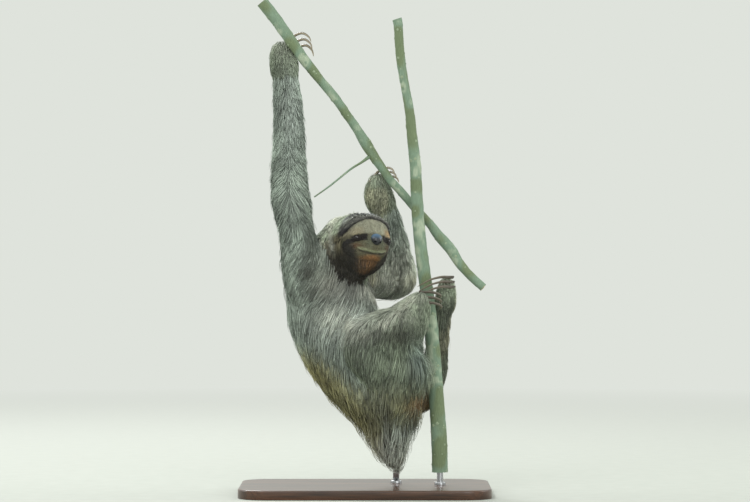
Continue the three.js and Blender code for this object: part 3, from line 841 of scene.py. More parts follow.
def body_colours(places, part):
    x, y, z = places.T
    colours = np.repeat(COAT["grey"][None], len(places), axis=0)
    colours = laid_over(colours, "leg", np.isin(part, ("thigh", "shin")) * 1.0)
    colours = laid_over(colours, "hand", np.isin(part, ("hand", "foot")) * 1.0)
    colours = patched(colours, places, CHEST_PATCHES)
    # Painted shade on the far side of the feet, behind the stem.
    far_leg_shade = np.isin(part, ("shin", "foot")) * ramp(x, 0.085, 0.100) * ramp(y, -0.015, 0.005)
    colours = laid_over(colours, "dark fur and shade", 0.6 * far_leg_shade * ramp(-z, -0.325, -0.29))
    colours = patched(colours, places, FLANK_PATCHES)
    behind = ramp(-x - (z - 0.15) * 0.9, -0.015, 0.04)
    colours = laid_over(colours, "low back", 0.9 * behind * ramp(-z, -0.25, -0.19))
    colours = laid_over(colours, "rump", ramp(-z, -0.19, -0.14) * 0.7)
    colours = laid_over(colours, "tail", ramp(-z, -0.115, -0.09) * ramp(x, 0.020, 0.036))
    colours = patched(colours, places, LAST_PATCHES)
    blotch = drift(places, 0.045, 3)
    colours = laid_over(colours, "cream", 0.5 * ramp(blotch, 0.62, 0.85) * ramp(y, 0.0, 0.03))
    return colours * (0.86 + 0.28 * drift(places, 0.03, 5))[:, None]


def head_colours(q):
    """Colours on the head and its hood, at places in the head's frame."""
    side, out, up = np.abs(q[:, 0]), q[:, 1], q[:, 2]
    edge = hood(q)
    colours = np.repeat(COAT["crown"][None], len(q), axis=0)
    colours = laid_over(colours, "temple", ramp(side, 26, 40) * ramp(-up, -34, -12) * ramp(-edge, -16, -6))
    band = hump(out, -10 - 0.25 * (up - 10), 6) * ramp(up, -14, 4)
    colours = laid_over(colours, "pale_and_highlight", 0.65 * band)
    colours = laid_over(colours, "cheek", ramp(-up, -2, 14) * ramp(out, -34, -12))
    high = ramp(up, 6, 14) * ramp(out, 4, 16)
    # Painted highlight: the top of the rolled fringe is lighter purple-grey where light falls on it.
    colours = laid_over(colours, "rim", high * hump(edge, 18, 5))
    face = ramp(-edge, -2.5, 1.5) * ramp(out, 8, 18)
    bare = np.repeat(COAT["under eye"][None], len(q), axis=0)
    bare = laid_over(bare, "brow", ramp(up, 2, 7))
    far_side = 0.25 + 0.75 * ramp(-q[:, 0], -5, 15)
    bare = laid_over(bare, "peach", ramp(up, 2, 6) * ramp(-up, -17, -10) * ramp(side, 12, 24) * far_side)
    bare = laid_over(bare, "muzzle", hump(side, 10, 8) * hump(up, -8, 9))
    bare = laid_over(bare, "russet", 0.9 * hump(side, 26, 7) * hump(up, -12.5, 3.6))
    bare = laid_over(bare, "cheek", ramp(side + 0.55 * (-up - 8), 27, 35) * ramp(-up, 5, 12))
    bare = laid_over(bare, "chin", hump(side, 3, 18) * ramp(-up, 24, 29) * ramp(up, -52, -45) * 1.2)
    lip = hump(up, mouth_line(side) + 1.6, 2.6) * ramp(-side, -27, -20)
    bare = laid_over(bare, "lip", lip * 0.95)
    bare = laid_over(bare, "mouth", 1.2 * hump(up, mouth_line(side) - 0.9, 1.1) * ramp(-side, -25, -21))
    slant = -0.6 - 0.012 * np.maximum(side - 14, 0) ** 2
    stripe = ramp(-np.abs(up - slant), -5.6, -3.6) * ramp(side, 10, 14)
    bare = laid_over(bare, "stripe", stripe)
    colours = colours + (bare - colours) * face[:, None]
    colours = laid_over(colours, "fringe", high * ramp(edge, -3.0, -1.0) * ramp(-edge, -15, -10))
    colours = laid_over(colours, "throat", ramp(-up, 48, 55) * ramp(out, -25, 0))
    tuft = hump(side, 3, 15) * ramp(-up, 26, 32) * ramp(up, -45, -37) * ramp(out, 4, 18)
    colours = laid_over(colours, "chin", 0.45 * tuft * (1 - face))
    return colours


# Painted highlights where sunlight falls on the tips: along the top of the near shin, and along the lit edge
# of the chest fold.
SUNLIT = {
    "shin": [(0.070, 0.310), (0.060, 0.300), (0.049, 0.288), (0.039, 0.279), (0.027, 0.274), (-0.026, 0.271)],
    "chest": [(-0.012, 0.334), (-0.004, 0.327), (0.004, 0.320), (0.012, 0.313), (0.020, 0.306)],
}
SUNLIT_REACH = {"shin": (0.009, 0.2, 0.007), "chest": (0.006, 0.2, 0.005)}


def pale_tips_and_highlight(places, outs, part):
    """How pale the hair's tips are: a painted highlight where they face up to the light and at the sunlit
    spots, and pale at the tail's end.
    """
    sky = ramp(outs[:, 2], 0.1, 0.75)
    share = 0.45 * sky * np.isin(part, ("shin", "foot", "neck"))
    share = np.maximum(share, 0.3 * sky)
    share = np.maximum(share, 0.7 * ramp(-places[:, 2], -0.105, -0.06))
    for where_sunny, reach in SUNLIT_REACH.items():
        for x, z in SUNLIT[where_sunny]:
            share = np.maximum(share, 1.6 * near(places, (x, -0.08, z), reach) * (places[:, 1] < 0.02))
    return np.minimum(share, 1)


def markings(places, owners):
    """The colour of the coat at places on the hide, which lie on these parts of the body."""
    part = PART_OF[owners]
    q = into_head(places)
    share = np.where(part == "head", 1.0, ramp(-np.linalg.norm(q, axis=1), -72, -58) * (part == "neck"))
    return body_colours(places, part) * (1 - share[:, None]) + head_colours(q) * share[:, None]


def hair_material(name, grain, **sockets):
    """Hair: each lock has its own colour, from its `Coat` attribute, with fine streaks a grain apart, in mm,
    that stand for single hairs, and a soft sheen along its edges."""
    material, tree, shader = material_of(name, Specular_IOR_Level=0.25, Sheen_Roughness=0.5, **sockets)
    marks = node(tree, "ShaderNodeAttribute", {"attribute_name": "Coat"})
    hairs = noise_over(tree, [1 / (grain * MM)] * 3, 2)
    finished(tree, shader, varied(tree, marks.outputs["Color"], hairs, 0.8, 1.2), hairs, 0.6, 0.5)
    return material


UNDERCOAT_SHADE = 0.5  # the short wool at the roots is darker than the tips
under = markings(places, skin_owner) * UNDERCOAT_SHADE
for name in eye_frames:
    out, wide, high = in_eye(places, name)
    rim = ramp(-np.hypot(wide / 0.0058, high / 0.0040), -1.25, -0.95) * (np.abs(out) < 0.01)
    under += (linear("#15110e") - under) * rim[:, None]
paint(skin_mesh, under)
underwool = hair_material("underwool, short felted hair", 1.6, Roughness=0.85, Sheen_Weight=0.2)
piece("hide", skin_mesh, underwool, "coat", *FLESH)

# ---------------------------------------------------------------------------------------- coat
# Long coarse hair that hangs in locks, and short hair on the face, hands and feet. Each lock is a closed
# three-sided blade that leaves the hide, lies over and follows the lie of the fur to its tip.

# For each part: length, width at the root, locks to the square centimetre, and rings along a lock.
LOCKS = {
    "face": (0.0058, 0.00058, 190, 2),
    "head": (0.0165, 0.0011, 40, 3),
    "neck": (0.028, 0.0013, 26, 3),
    "trunk": (0.043, 0.00125, 24, 4),
    "tail": (0.048, 0.0011, 34, 4),
    "upper_arm": (0.030, 0.0013, 28, 3),
    "forearm": (0.026, 0.0012, 30, 3),
    "hand": (0.017, 0.0010, 40, 3),
    "thigh": (0.042, 0.0014, 24, 4),
    "shin": (0.029, 0.0013, 28, 3),
    "foot": (0.018, 0.0010, 38, 3),
}

# The lie of the fur: it hangs, and here and there it is combed another way. Place, reach and way.
COMBED = [
    ((-0.130, 0.000, 0.690), 0.05, (0.0, -0.2, -0.8)),
    ((-0.100, -0.060, 0.385), 0.05, (-0.55, -0.1, -0.8)),
    ((-0.045, -0.060, 0.350), 0.05, (-0.85, 0.0, -0.75)),
    ((-0.065, -0.075, 0.305), 0.05, (-0.65, 0.0, -0.8)),
    ((-0.030, -0.080, 0.245), 0.05, (-0.40, 0.0, -0.9)),
    ((-0.100, -0.030, 0.230), 0.05, (0.20, 0.0, -1.0)),
    ((-0.020, -0.060, 0.160), 0.05, (0.25, 0.0, -1.0)),
    ((0.050, -0.060, 0.165), 0.04, (-0.25, 0.0, -1.0)),
    ((0.030, -0.060, 0.270), 0.04, (-0.45, 0.0, -0.8)),
    ((0.075, -0.045, 0.300), 0.03, (-0.45, -0.1, -0.7)),
    ((0.020, 0.020, 0.335), 0.05, (-0.70, 0.0, -0.8)),
    ((0.045, 0.085, 0.400), 0.05, (-0.10, 0.1, -1.0)),
    ((0.084, -0.030, 0.240), 0.022, (0.90, 0.0, -0.8)),
]
ELBOW = {"from": 0.425, "to": 0.535, "middle": -0.118, "spread": 1.3}


def lie_of_fur():
    """The way the hair lies at each vertex of the hide, along its surface."""
    way = np.tile((0.0, 0.0, -1.0), (len(places), 1))
    for centre, reach, combed in COMBED:
        way += 2.5 * near(places, centre, (reach, reach, reach))[:, None] * np.array(combed)
    x, _, z = places.T
    arm = np.isin(skin_owner, [FLESH.index("right_upper_arm"), FLESH.index("right_forearm")])
    arched = arm * ramp(z, ELBOW["from"] - 0.03, ELBOW["from"]) * ramp(-z, -ELBOW["to"] - 0.03, -ELBOW["to"])
    way[:, 0] += ELBOW["spread"] * arched * np.clip((x - ELBOW["middle"]) / 0.012, -1, 1)
    q = into_head(places)
    from_nose = unit(q - np.array((0, 44, -6))) * (1, 1, 1.25)
    falling = np.tile((0.0, 0.0, -1.0), (len(q), 1))
    on_head = falling + (from_nose - falling) * face_share(q)[:, None]
    on_head = unit(on_head) @ HEAD_TURN.T
    head_share = (skin_owner == FLESH.index("head"))[:, None]
    way = np.where(head_share, on_head * 1.5, unit(way))
    for _ in range(6):
        way = evened(way, edges, [0.5] * 3)
        way -= skin_normals * (way * skin_normals).sum(axis=1)[:, None]
    return unit(way + 1e-9)


lie = lie_of_fur()
chance = np.random.default_rng(27)


def streaks(cell, passes):
    """Light and dark strands that run with the lie of the fur: noise drawn out along it over the mesh."""
    values = chance.normal(size=(len(places), 1))
    values = evened(values, edges, [0.6] * cell)
    run = unit(places[edges[:, 1]] - places[edges[:, 0]])
    with_it = np.abs((run * unit(lie[edges[:, 0]] + lie[edges[:, 1]])).sum(axis=1)) ** 8
    weight = np.bincount(edges[:, 0], with_it, len(places)) + np.bincount(edges[:, 1], with_it, len(places))
    for _ in range(passes):
        total = np.bincount(edges[:, 0], with_it * values[edges[:, 1], 0], len(places))
        total += np.bincount(edges[:, 1], with_it * values[edges[:, 0], 0], len(places))
        values[:, 0] += 0.7 * (total / np.maximum(weight, 1e-9) - values[:, 0])
    return values[:, 0] / values.std()


strands = 0.6 * streaks(0, 24) + 0.8 * streaks(3, 50)

# Roots, spread evenly by area over the hide.
PER_CM2 = 1e4  # to the square metre
a, b, c = (places[faces[:, i]] for i in range(3))
areas = np.linalg.norm(np.cross(b - a, c - a), axis=1) / 2
face_q = into_head((a + b + c) / 3)
face_part = PART_OF[skin_owner[faces[:, 0]]]
face_region = np.where((face_share(face_q) > 0.5) & (face_part == "head"), "face", face_part)
thick = np.array([LOCKS[region][2] for region in face_region]) * PER_CM2
grown = np.cumsum(areas * thick)
ticks = np.arange(int(grown[-1])) + chance.random(int(grown[-1]))
root_face = np.minimum(np.searchsorted(grown, ticks), len(faces) - 1)
u, v = chance.random((2, len(root_face)))
folded = u + v > 1
u, v = np.where(folded, 1 - u, u), np.where(folded, 1 - v, v)
roots = a[root_face] + (b - a)[root_face] * u[:, None] + (c - a)[root_face] * v[:, None]

# No hair on the eyes, on the nose or in the perch.
low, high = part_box("nose")
nose_centre = into_head(np.array([(low + high) / 2]))[0]
NOSE_RADII = np.array((9.6, 6.8, 8.8))


def on_nose(spots, margin):
    return (((into_head(spots) - nose_centre) / (NOSE_RADII + margin)) ** 2).sum(axis=1) < 1


haired = ~(in_opening(roots, 0.0006) | on_nose(roots, 0.3))
roots, root_face = roots[haired], root_face[haired]
root_corner = faces[root_face, 0]
root_owner = skin_owner[root_corner]
root_region = face_region[root_face]

wood_tree, _ = solids_tree(wood_rows)
THICKEST_WOOD = 0.02


def in_wood(spots):
    """Whether each place is within the wood of the perch."""
    inside = np.zeros(len(spots), bool)
    for index, spot in enumerate(spots.tolist()):
        surface, facing, *_ = wood_tree.find_nearest(spot, THICKEST_WOOD)
        inside[index] = surface is not None and (Vector(spot) - surface).dot(facing) < 0
    return inside


CLUMP_SPACING = 0.011
STRAND_TONE = 0.20
ROOT_DEPTH = 0.0008  # how far under the hide a lock starts
LOWEST_HAIR = 0.019  # just over the board


def traced(roots, way, lengths, lifts, rings, stray):
    """The course of each lock from its root to its tip, and the outward direction along it."""
    normal = np.array([skin_tree.find_nearest(spot)[1] for spot in roots.tolist()])
    course, outs = [roots - normal * ROOT_DEPTH], [normal]
    at = roots
    for ring in range(1, rings + 1):
        straight = at + unit(way) * (lengths / rings)[:, None]
        found = [skin_tree.find_nearest(spot) for spot in straight.tolist()]
        spot = np.array([one[0] for one in found])
        normal = np.array([one[1] for one in found])
        touched = faces[[one[2] for one in found], 0]
        share = ring / rings
        height = lifts * (1 - (1 - share) ** 1.8) * (1 - 0.25 * share**3)
        off = np.linalg.norm(straight - spot, axis=1)
        height = np.maximum(height, np.minimum(off * 0.55, lifts * 2.0))
        course.append(spot + normal * height[:, None])
        outs.append(normal)
        at = spot
        way = unit(lie[touched] + stray)
    return np.stack(course, axis=1), np.stack(outs, axis=1)


def gathered(course, outs, start, length, region):
    """Draws each lock towards a guide near it, as coarse hair does, and bends it in a slight wave."""
    count, rings = len(course), course.shape[1] - 1
    spacing = CLUMP_SPACING * (0.35 if region in ("face", "hand", "foot") else 1)
    guides = max(4, int(count / (spacing**2 * LOCKS[region][2] * PER_CM2)))
    chosen = chance.choice(count, min(guides, count), replace=False)
    tree = KDTree(len(chosen))
    for index, spot in enumerate(start[chosen].tolist()):
        tree.insert(spot, index)
    tree.balance()
    guide = chosen[[tree.find(spot)[1] for spot in start.tolist()]]
    pull = chance.uniform(0.1, 0.55, count)[guide] * (0.5 if region == "face" else 1)
    along = np.linspace(0, 1, rings + 1)
    target = course[guide] + (start - start[guide])[:, None] * 0.3
    course = course + (target - course) * (pull[:, None] * along**1.4)[:, :, None]
    across = unit(np.cross(course[:, -1] - course[:, 0], outs[:, 1]))
    bend = drift(start, 0.02, 11) - 0.5
    wave = np.sin(along * math.pi * 1.6 + bend[:, None] * 9) * (0.045 * length)[:, None] * along
    course = course + across[:, None] * wave[:, :, None]
    for _ in range(2):
        course[:, 1:-1] += 0.5 * ((course[:, :-2] + course[:, 2:]) / 2 - course[:, 1:-1])
    course[:, :, 2] = np.maximum(course[:, :, 2], LOWEST_HAIR)
    return course, guide


def lock_colours(course, picked, guide, on_face):
    """The colour along each lock, darkest at its root. Each lock and each clump has its own tone, with pale
    and dark hairs among them, and a painted highlight pales some tips where light falls on them."""
    count, rings = len(course), course.shape[1] - 1
    corner = root_corner[picked]
    owner = root_owner[picked]
    part = PART_OF[owner]
    seen = course[:, rings // 2 + 1] if part[0] not in ("head", "neck") else roots[picked]
    tone = 1 + 0.09 * chance.normal(size=count)[guide] + 0.11 * chance.normal(size=count)
    tone *= np.exp(STRAND_TONE * strands[corner])
    kind = chance.random(count)
    if on_face:
        tone = 1 + (tone - 1) * 0.45
    else:
        tone *= np.where(kind < 0.10, 1.35, 1) * np.where(kind > 0.86, 0.66, 1)
    tone = np.clip(tone, 0.4, 1.8)
    along = np.linspace(0, 1, rings + 1)
    shade = np.interp(along, (0, 0.3, 1), (0.5, 0.95, 1.1))
    colours = markings(seen, owner)[:, None] * tone[:, None, None] * shade[None, :, None]
    # Painted highlight: tips that face the light are laid over with a pale colour.
    pale_and_highlight = COAT["pale_and_highlight"] * chance.uniform(0.75, 1.15, count)[:, None]
    pale_and_lit_tips = pale_tips_and_highlight(seen, skin_normals[corner], part) * (not on_face)
    share = (pale_and_lit_tips * chance.uniform(0.4, 1.0, count))[:, None] * ramp(along, 0.0, 0.6)
    return colours + (pale_and_highlight[:, None] - colours) * share[:, :, None]


def locks(picked):
    """Grows the locks of one stretch of the coat: their course, outward directions, width and colour."""
    start = roots[picked]
    count = len(start)
    region = root_region[picked[0]]
    part = PART_OF[root_owner[picked[0]]]
    on_face = region == "face"
    usual_length, usual_width, _, rings = LOCKS[region]
    guard = chance.random(count) < 0.3  # longer, finer hairs over the rest
    length = usual_length * chance.uniform(0.65, 1.1, count) * np.where(guard, 1.35, 1)
    width = usual_width * chance.uniform(0.75, 1.3, count) * np.where(guard, 0.75, 1)
    q = into_head(start)
    over = hood(q) + chance.uniform(3.0, 5.5, count)
    if on_face:
        # The face's hair is shortest round the nose, eyes and mouth, and longer on cheeks and chin.
        muzzle = np.linalg.norm(q - np.array((0, 50, -8)), axis=1)
        from_mouth = np.abs(q[:, 2] - mouth_line(np.abs(q[:, 0])))
        length *= 0.62 + 0.75 * ramp(muzzle, 14, 44)
        length *= np.where(np.abs(q[:, 0]) < 26, 0.4 + 0.6 * ramp(from_mouth, 0.5, 6), 1)
    elif part == "head":
        # The hood's fringe ends a little way over the brow.
        fringed = (q[:, 2] > 4) & (q[:, 1] > -12) & (hood(q) < 20)
        length = np.where(fringed, np.clip(over * MM * 1.05, 0.006, length), length)
    stray = 0.17 * chance.normal(size=(count, 3)) * (2.2 if part == "tail" else 1)
    way = unit(lie[root_corner[picked]] + stray * 0.5)
    # The hair stands out more in the fold behind the knee, and hangs loose on the rump and tail.
    lift = (FACE_DEPTH * 0.75 if on_face else COAT_DEPTH[part]) * chance.uniform(0.35, 1.05, count)
    lift *= 1 + 2.3 * near(start, (0.084, -0.03, 0.238), (0.015, 0.06, 0.035))
    loose = ramp(-start[:, 2], -0.20, -0.12) * (part in ("trunk", "tail"))
    wild = (chance.random(count) < 0.06 + 0.14 * loose) & (not on_face)
    lift = np.where(wild, lift * (1.5 + 0.7 * loose), lift)
    course, outs = traced(start, way, length, lift, rings, stray * 0.35)
    course, guide = gathered(course, outs, start, length, region)
    spots = course.reshape(-1, 3)
    lost = in_opening(spots, 0.0004) | on_nose(spots, 0.0) if on_face else in_wood(spots)
    kept = ~lost.reshape(count, -1).any(axis=1)
    colours = lock_colours(course, picked, guide, on_face)
    return course[kept], outs[kept], width[kept], colours[kept]


def unwrapped(start, rings_of_skin=26):
    """Each root's place on an unwrap of this stretch of skin, as a tube slit down its back and laid out so
    that it fills the square evenly: its height along the stretch, and its angle round the middle there."""
    middle = start.mean(axis=0)
    axis = np.linalg.svd(start - middle, full_matrices=False)[2][0]
    along = (start - middle) @ axis
    order = np.argsort(along)
    centre = np.empty_like(start)
    for group in np.array_split(order, rings_of_skin):
        centre[group] = start[group].mean(axis=0)
    level = unit(np.cross(axis, (0.3, 0.9, 0.2)))
    other = np.cross(axis, level)
    angle = np.arctan2((start - centre) @ other, (start - centre) @ level)
    rows = int(math.ceil(math.sqrt(len(start))))
    spots = np.empty((len(start), 2))
    for row, group in enumerate(np.array_split(order, rows)):
        around = group[np.argsort(angle[group])]
        spots[around, 0] = (np.arange(len(around)) + 0.5) / len(around)
        spots[around, 1] = (row + 0.5) / rows
    return 0.003 + spots * 0.99


PATCH = 0.003  # each lock's own patch of the unwrap
SHAPE = np.array((0.85, 1.0, 0.8, 0.5))  # how wide a lock is at each ring, as a share


def coat_piece(name, course, outs, width, colours, material, slot):
    """One mesh of three-sided blades, each closed at its root and drawn to a point."""
    count, rings = len(course), course.shape[1] - 1
    tangent = unit(np.gradient(course, axis=1))
    across = unit(np.cross(tangent, outs))
    outs = np.cross(across, tangent)
    fan = np.stack([across * 0.5, outs * 0.42, across * -0.5], axis=2)[:, :rings]
    shape = np.interp(np.linspace(0, 1, rings + 1)[:-1], np.linspace(0, 1, len(SHAPE)), SHAPE)
    fan = fan * (width[:, None] * shape)[:, :, None, None]
    ring_places = course[:, :rings, None] + fan
    spots = np.concatenate([ring_places.reshape(count, -1, 3), course[:, rings:]], axis=1)
    tints = np.repeat(colours[:, :rings], 3, axis=1)
    tints = np.concatenate([tints, colours[:, rings:]], axis=1)
    triangles, patch = [(0, 1, 2)], [((0, 0), (0.5, 0.1), (1, 0))]
    for ring in range(rings):
        low, high = 0.16 + 0.84 * ring / rings, 0.16 + 0.84 * (ring + 1) / rings
        for corner in range(3):
            left, right = corner / 3, (corner + 1) / 3
            one, two = 3 * ring + corner, 3 * ring + (corner + 1) % 3
            if ring == rings - 1:
                triangles.append((two, one, 3 * rings))
                patch.append(((right, low), (left, low), ((left + right) / 2, 1)))
                continue
            triangles.append((two, one, one + 3))
            patch.append(((right, low), (left, low), (left, high)))
            triangles.append((two, one + 3, two + 3))
            patch.append(((right, low), (left, high), (right, high)))
    size = spots.shape[1]
    corners = (np.array(triangles).ravel()[None] + size * np.arange(count)[:, None]).ravel()
    mesh = bpy.data.meshes.new(name)
    mesh.vertices.add(count * size)
    mesh.vertices.foreach_set("co", spots.astype(np.float32).ravel())
    mesh.loops.add(len(corners))
    mesh.loops.foreach_set("vertex_index", corners.astype(np.int32))
    mesh.polygons.add(len(corners) // 3)
    mesh.polygons.foreach_set("loop_start", np.arange(0, len(corners), 3, dtype=np.int32))
    unwrap = mesh.uv_layers.new(name="OFBake")
    at = unwrapped(course[:, 0])[:, None] + (np.array(patch).reshape(-1, 2) - 0.5)[None] * PATCH
    unwrap.data.foreach_set("uv", at.astype(np.float32).ravel())
    mesh.update(calc_edges=True)
    paint(mesh, tints.reshape(-1, 3))
    return piece(name, mesh, material, slot)


long_hair = hair_material("long coarse guard hair", 2.2, Roughness=0.6, Sheen_Weight=0.15)
face_hair = hair_material("short face hair", 1.2, Roughness=0.7, Sheen_Weight=0.1)

for index, name in enumerate(FLESH):
    groups = {}
    mine = root_owner == index
    if name == "head":
        groups["face"] = mine & (root_region == "face")
        groups["hood"] = mine & (root_region != "face")
    elif name == "trunk":
        around = np.arctan2(roots[:, 1], roots[:, 0] + 0.02)
        quarter = np.floor((around + math.pi) / (math.pi / 2) + 0.5).astype(int) % 4
        for number, label in enumerate(("back", "right_flank", "belly", "left_flank")):
            groups[label] = mine & (quarter == number)
    else:
        groups[name] = mine
    for label, chosen in groups.items():
        picked = np.flatnonzero(chosen)
        if not len(picked):
            continue
        course, outs, width, colours = locks(picked)
        is_face = label in ("face", "hood")
        finish, slot = (face_hair, "face_coat") if is_face else (long_hair, "coat")
        coat_piece(f"coat_{label}", course, outs, width, colours, finish, slot)

# ---------------------------------------------------------------------------------------- eyes
# Small round eyes, nearly black and wet. The clear cornea bulges a little over a brown iris and its pupil.

IRIS_SPREAD = math.radians(38)
CORNEA_RISE = 0.00025
EYE_BANDS = {0.0: "#020202", 0.16: "#030202", 0.20: "#1c0f08", 0.40: "#100805", 0.5: "#221812"}

eyeball, tree, shader = material_of("eyeball, wet and glossy", Roughness=0.06, IOR=1.376, Coat_Weight=0.6)
# From its middle out: black pupil, dark brown iris with fibres 0.5 mm apart, a dark rim and brownish white.
marks = node(tree, "ShaderNodeAttribute", {"attribute_name": "From pupil"})
bands = between(tree, marks.outputs["Fac"], list(EYE_BANDS.values()), list(EYE_BANDS))
fibres = noise_over(tree, [1 / (0.5 * MM)] * 3, 3)
tree.links.new(shader.inputs["Base Color"], varied(tree, bands, fibres, 0.7, 1.3))

for name, (centre, out_axis, *_) in eye_frames.items():
    ball = bmesh.new()
    bmesh.ops.create_uvsphere(ball, u_segments=48, v_segments=32, radius=1)
    pole = Vector((0, 0, 1)).rotation_difference(Vector(out_axis)).to_matrix()
    from_pupil = []
    for vertex in ball.verts:
        turned = vertex.co.angle(Vector((0, 0, 1)))
        from_pupil.append(turned / math.pi * 2)
        rise = CORNEA_RISE * max(0, 1 - (turned / IRIS_SPREAD) ** 2)
        vertex.co = Vector(centre) + pole @ vertex.co * (EYE_RADIUS + rise)
    mesh = bpy.data.meshes.new(name)
    ball.to_mesh(mesh)
    ball.free()
    mesh.attributes.new("From pupil", "FLOAT", "POINT").data.foreach_set("value", from_pupil)
    piece(f"eyeball_{name}", mesh, eyeball, "eye", name)

# ---------------------------------------------------------------------------------------- nose
# The bare nose pad: black pebbled skin, moist, with two comma-shaped nostrils and a groove between them.

NOSTRIL = {"side": 4.4, "up": -5.6, "radius": 1.8, "depth": 3.2}

nose_skin, tree, shader = material_of(
    "nose skin, moist and pebbled", Roughness=0.3, Coat_Weight=0.35, Coat_Roughness=0.2, IOR=1.4
)
# Pebbles 0.9 mm apart, each a little paler at its middle.
where = node(tree, "ShaderNodeTexCoord")
marks = node(tree, "ShaderNodeAttribute", {"attribute_name": "Coat"})
pebbles = node(tree, "ShaderNodeTexVoronoi", {"Scale": 1 / (0.9 * MM)}, Vector=where.outputs["Object"])
from_middle = pebbles.outputs["Distance"]
tinted = varied(tree, marks.outputs["Color"], from_middle, 1.15, 0.7)
finished(tree, shader, tinted, from_middle, 0.3, 0.4, invert=True)

pad = bmesh.new()
bmesh.ops.create_uvsphere(pad, u_segments=72, v_segments=56, radius=1)
mesh = bpy.data.meshes.new("nose_pad")
pad.to_mesh(mesh)
pad.free()
ball = read_mesh(mesh)[0]
side, out, up = ball.T
# Broad above and narrower below, like a rounded heart, and flatter in front than a ball.
shaped = ball * NOSE_RADII * (1, 0.9, 1.06)
shaped[:, 0] *= 1.0 + 0.12 * up
shaped[:, 1] *= 1 - 0.10 * hump(up, 0.9, 0.5)
rise = shaped[:, 2] - NOSTRIL["up"]
pits = np.hypot(np.abs(shaped[:, 0]) - NOSTRIL["side"] - 0.3 * rise, rise * 1.25)
pit = ramp(-pits, -NOSTRIL["radius"] - 0.5, -NOSTRIL["radius"] + 0.7) * (out > 0)
shaped[:, 1] -= NOSTRIL["depth"] * pit
shaped[:, 1] += 0.35 * hump(pits, NOSTRIL["radius"] + 0.9, 0.7) * (out > 0)
shaped[:, 1] -= 0.5 * hump(shaped[:, 0], 0, 0.5) * ramp(-shaped[:, 2], -2, 1) * (out > 0)
tint = np.repeat(linear("#15181c")[None], len(ball), axis=0)
# Painted reflection of the sky: the upper part of the pad is painted blue-grey.
tint += (linear("#4f6d88") - tint) * (ramp(up, -0.25, 0.75) * 0.8)[:, None]
# Painted shade in the nostrils, darkest deep in each pit.
tint *= (1 - 0.85 * pit)[:, None]
NOSE_SUNK = np.array((0, -1.0, 0.6))
placed = out_of_head(shaped + nose_centre + NOSE_SUNK)
mesh.vertices.foreach_set("co", placed.ravel())
paint(mesh, tint)
piece("nose_pad", mesh, nose_skin, "nose_skin", "nose")

# ---------------------------------------------------------------------------------------- claws
# Three long hooked claws to each limb, of grey-brown horn that wears to cream along its edges and at the tip.
# Each is narrow, deeper than wide, keeled along its back, and hooks over the bark without touching it.

# For each grip, in mm: the course of the middle claw, and the step to the next one at the root and the tip.
GRIPS = {
    "right_hand": (
        [(-124, 12, 712), (-111, 13, 724), (-98, 9, 728), (-88, -1, 721), (-84, -9, 711)],
        (4.6, 0.5, -8),
        (2, 0.5, -11.5),
    ),
    "left_hand": (
        [(17, 32, 499), (27, 34, 511), (38, 29, 516), (47, 20, 513), (51, 10, 506)],
        (5, 0.8, -6.6),
        (3.4, 0.8, -7.4),
    ),
    "right_foot": (
        [(93, -36, 315), (106, -35, 315), (117, -27, 312), (121.5, -14, 308), (118, -3, 304)],
        (0.6, -0.5, -8.6),
        (0.6, -0.5, -8.4),
    ),
    "left_foot": (
        [(135, -1, 339), (122, -18, 339.5), (107, -26, 336), (95, -26, 330), (86, -21, 325)],
        (1.2, -1, -7.8),
        (2.4, -1, -7),
    ),
}
CLAW = {"depth": 6.6, "width": 4.9, "tip": 0.24, "sides": 18, "rings": 34}
HORN = {"root": "#463f36", "back": "#5f574b", "edge": "#b5aa8c"}
HORN = {name: linear(code) for name, code in HORN.items()}

horn, tree, shader = material_of("claw horn, dull polish", Roughness=0.42, IOR=1.54)
# Fine lines 0.5 mm apart run the length of the claw: the horn is laid down in fibres.
marks = node(tree, "ShaderNodeAttribute", {"attribute_name": "Coat"})
course = node(tree, "ShaderNodeAttribute", {"attribute_name": "Fibres"})
fibres = node(tree, "ShaderNodeTexNoise", {"Scale": 1.0, "Detail": 3}, Vector=course.outputs["Vector"])
lined = varied(tree, marks.outputs["Color"], fibres.outputs["Fac"], 0.68, 1.3)
finished(tree, shader, lined, fibres.outputs["Fac"], 0.2, 0.5)

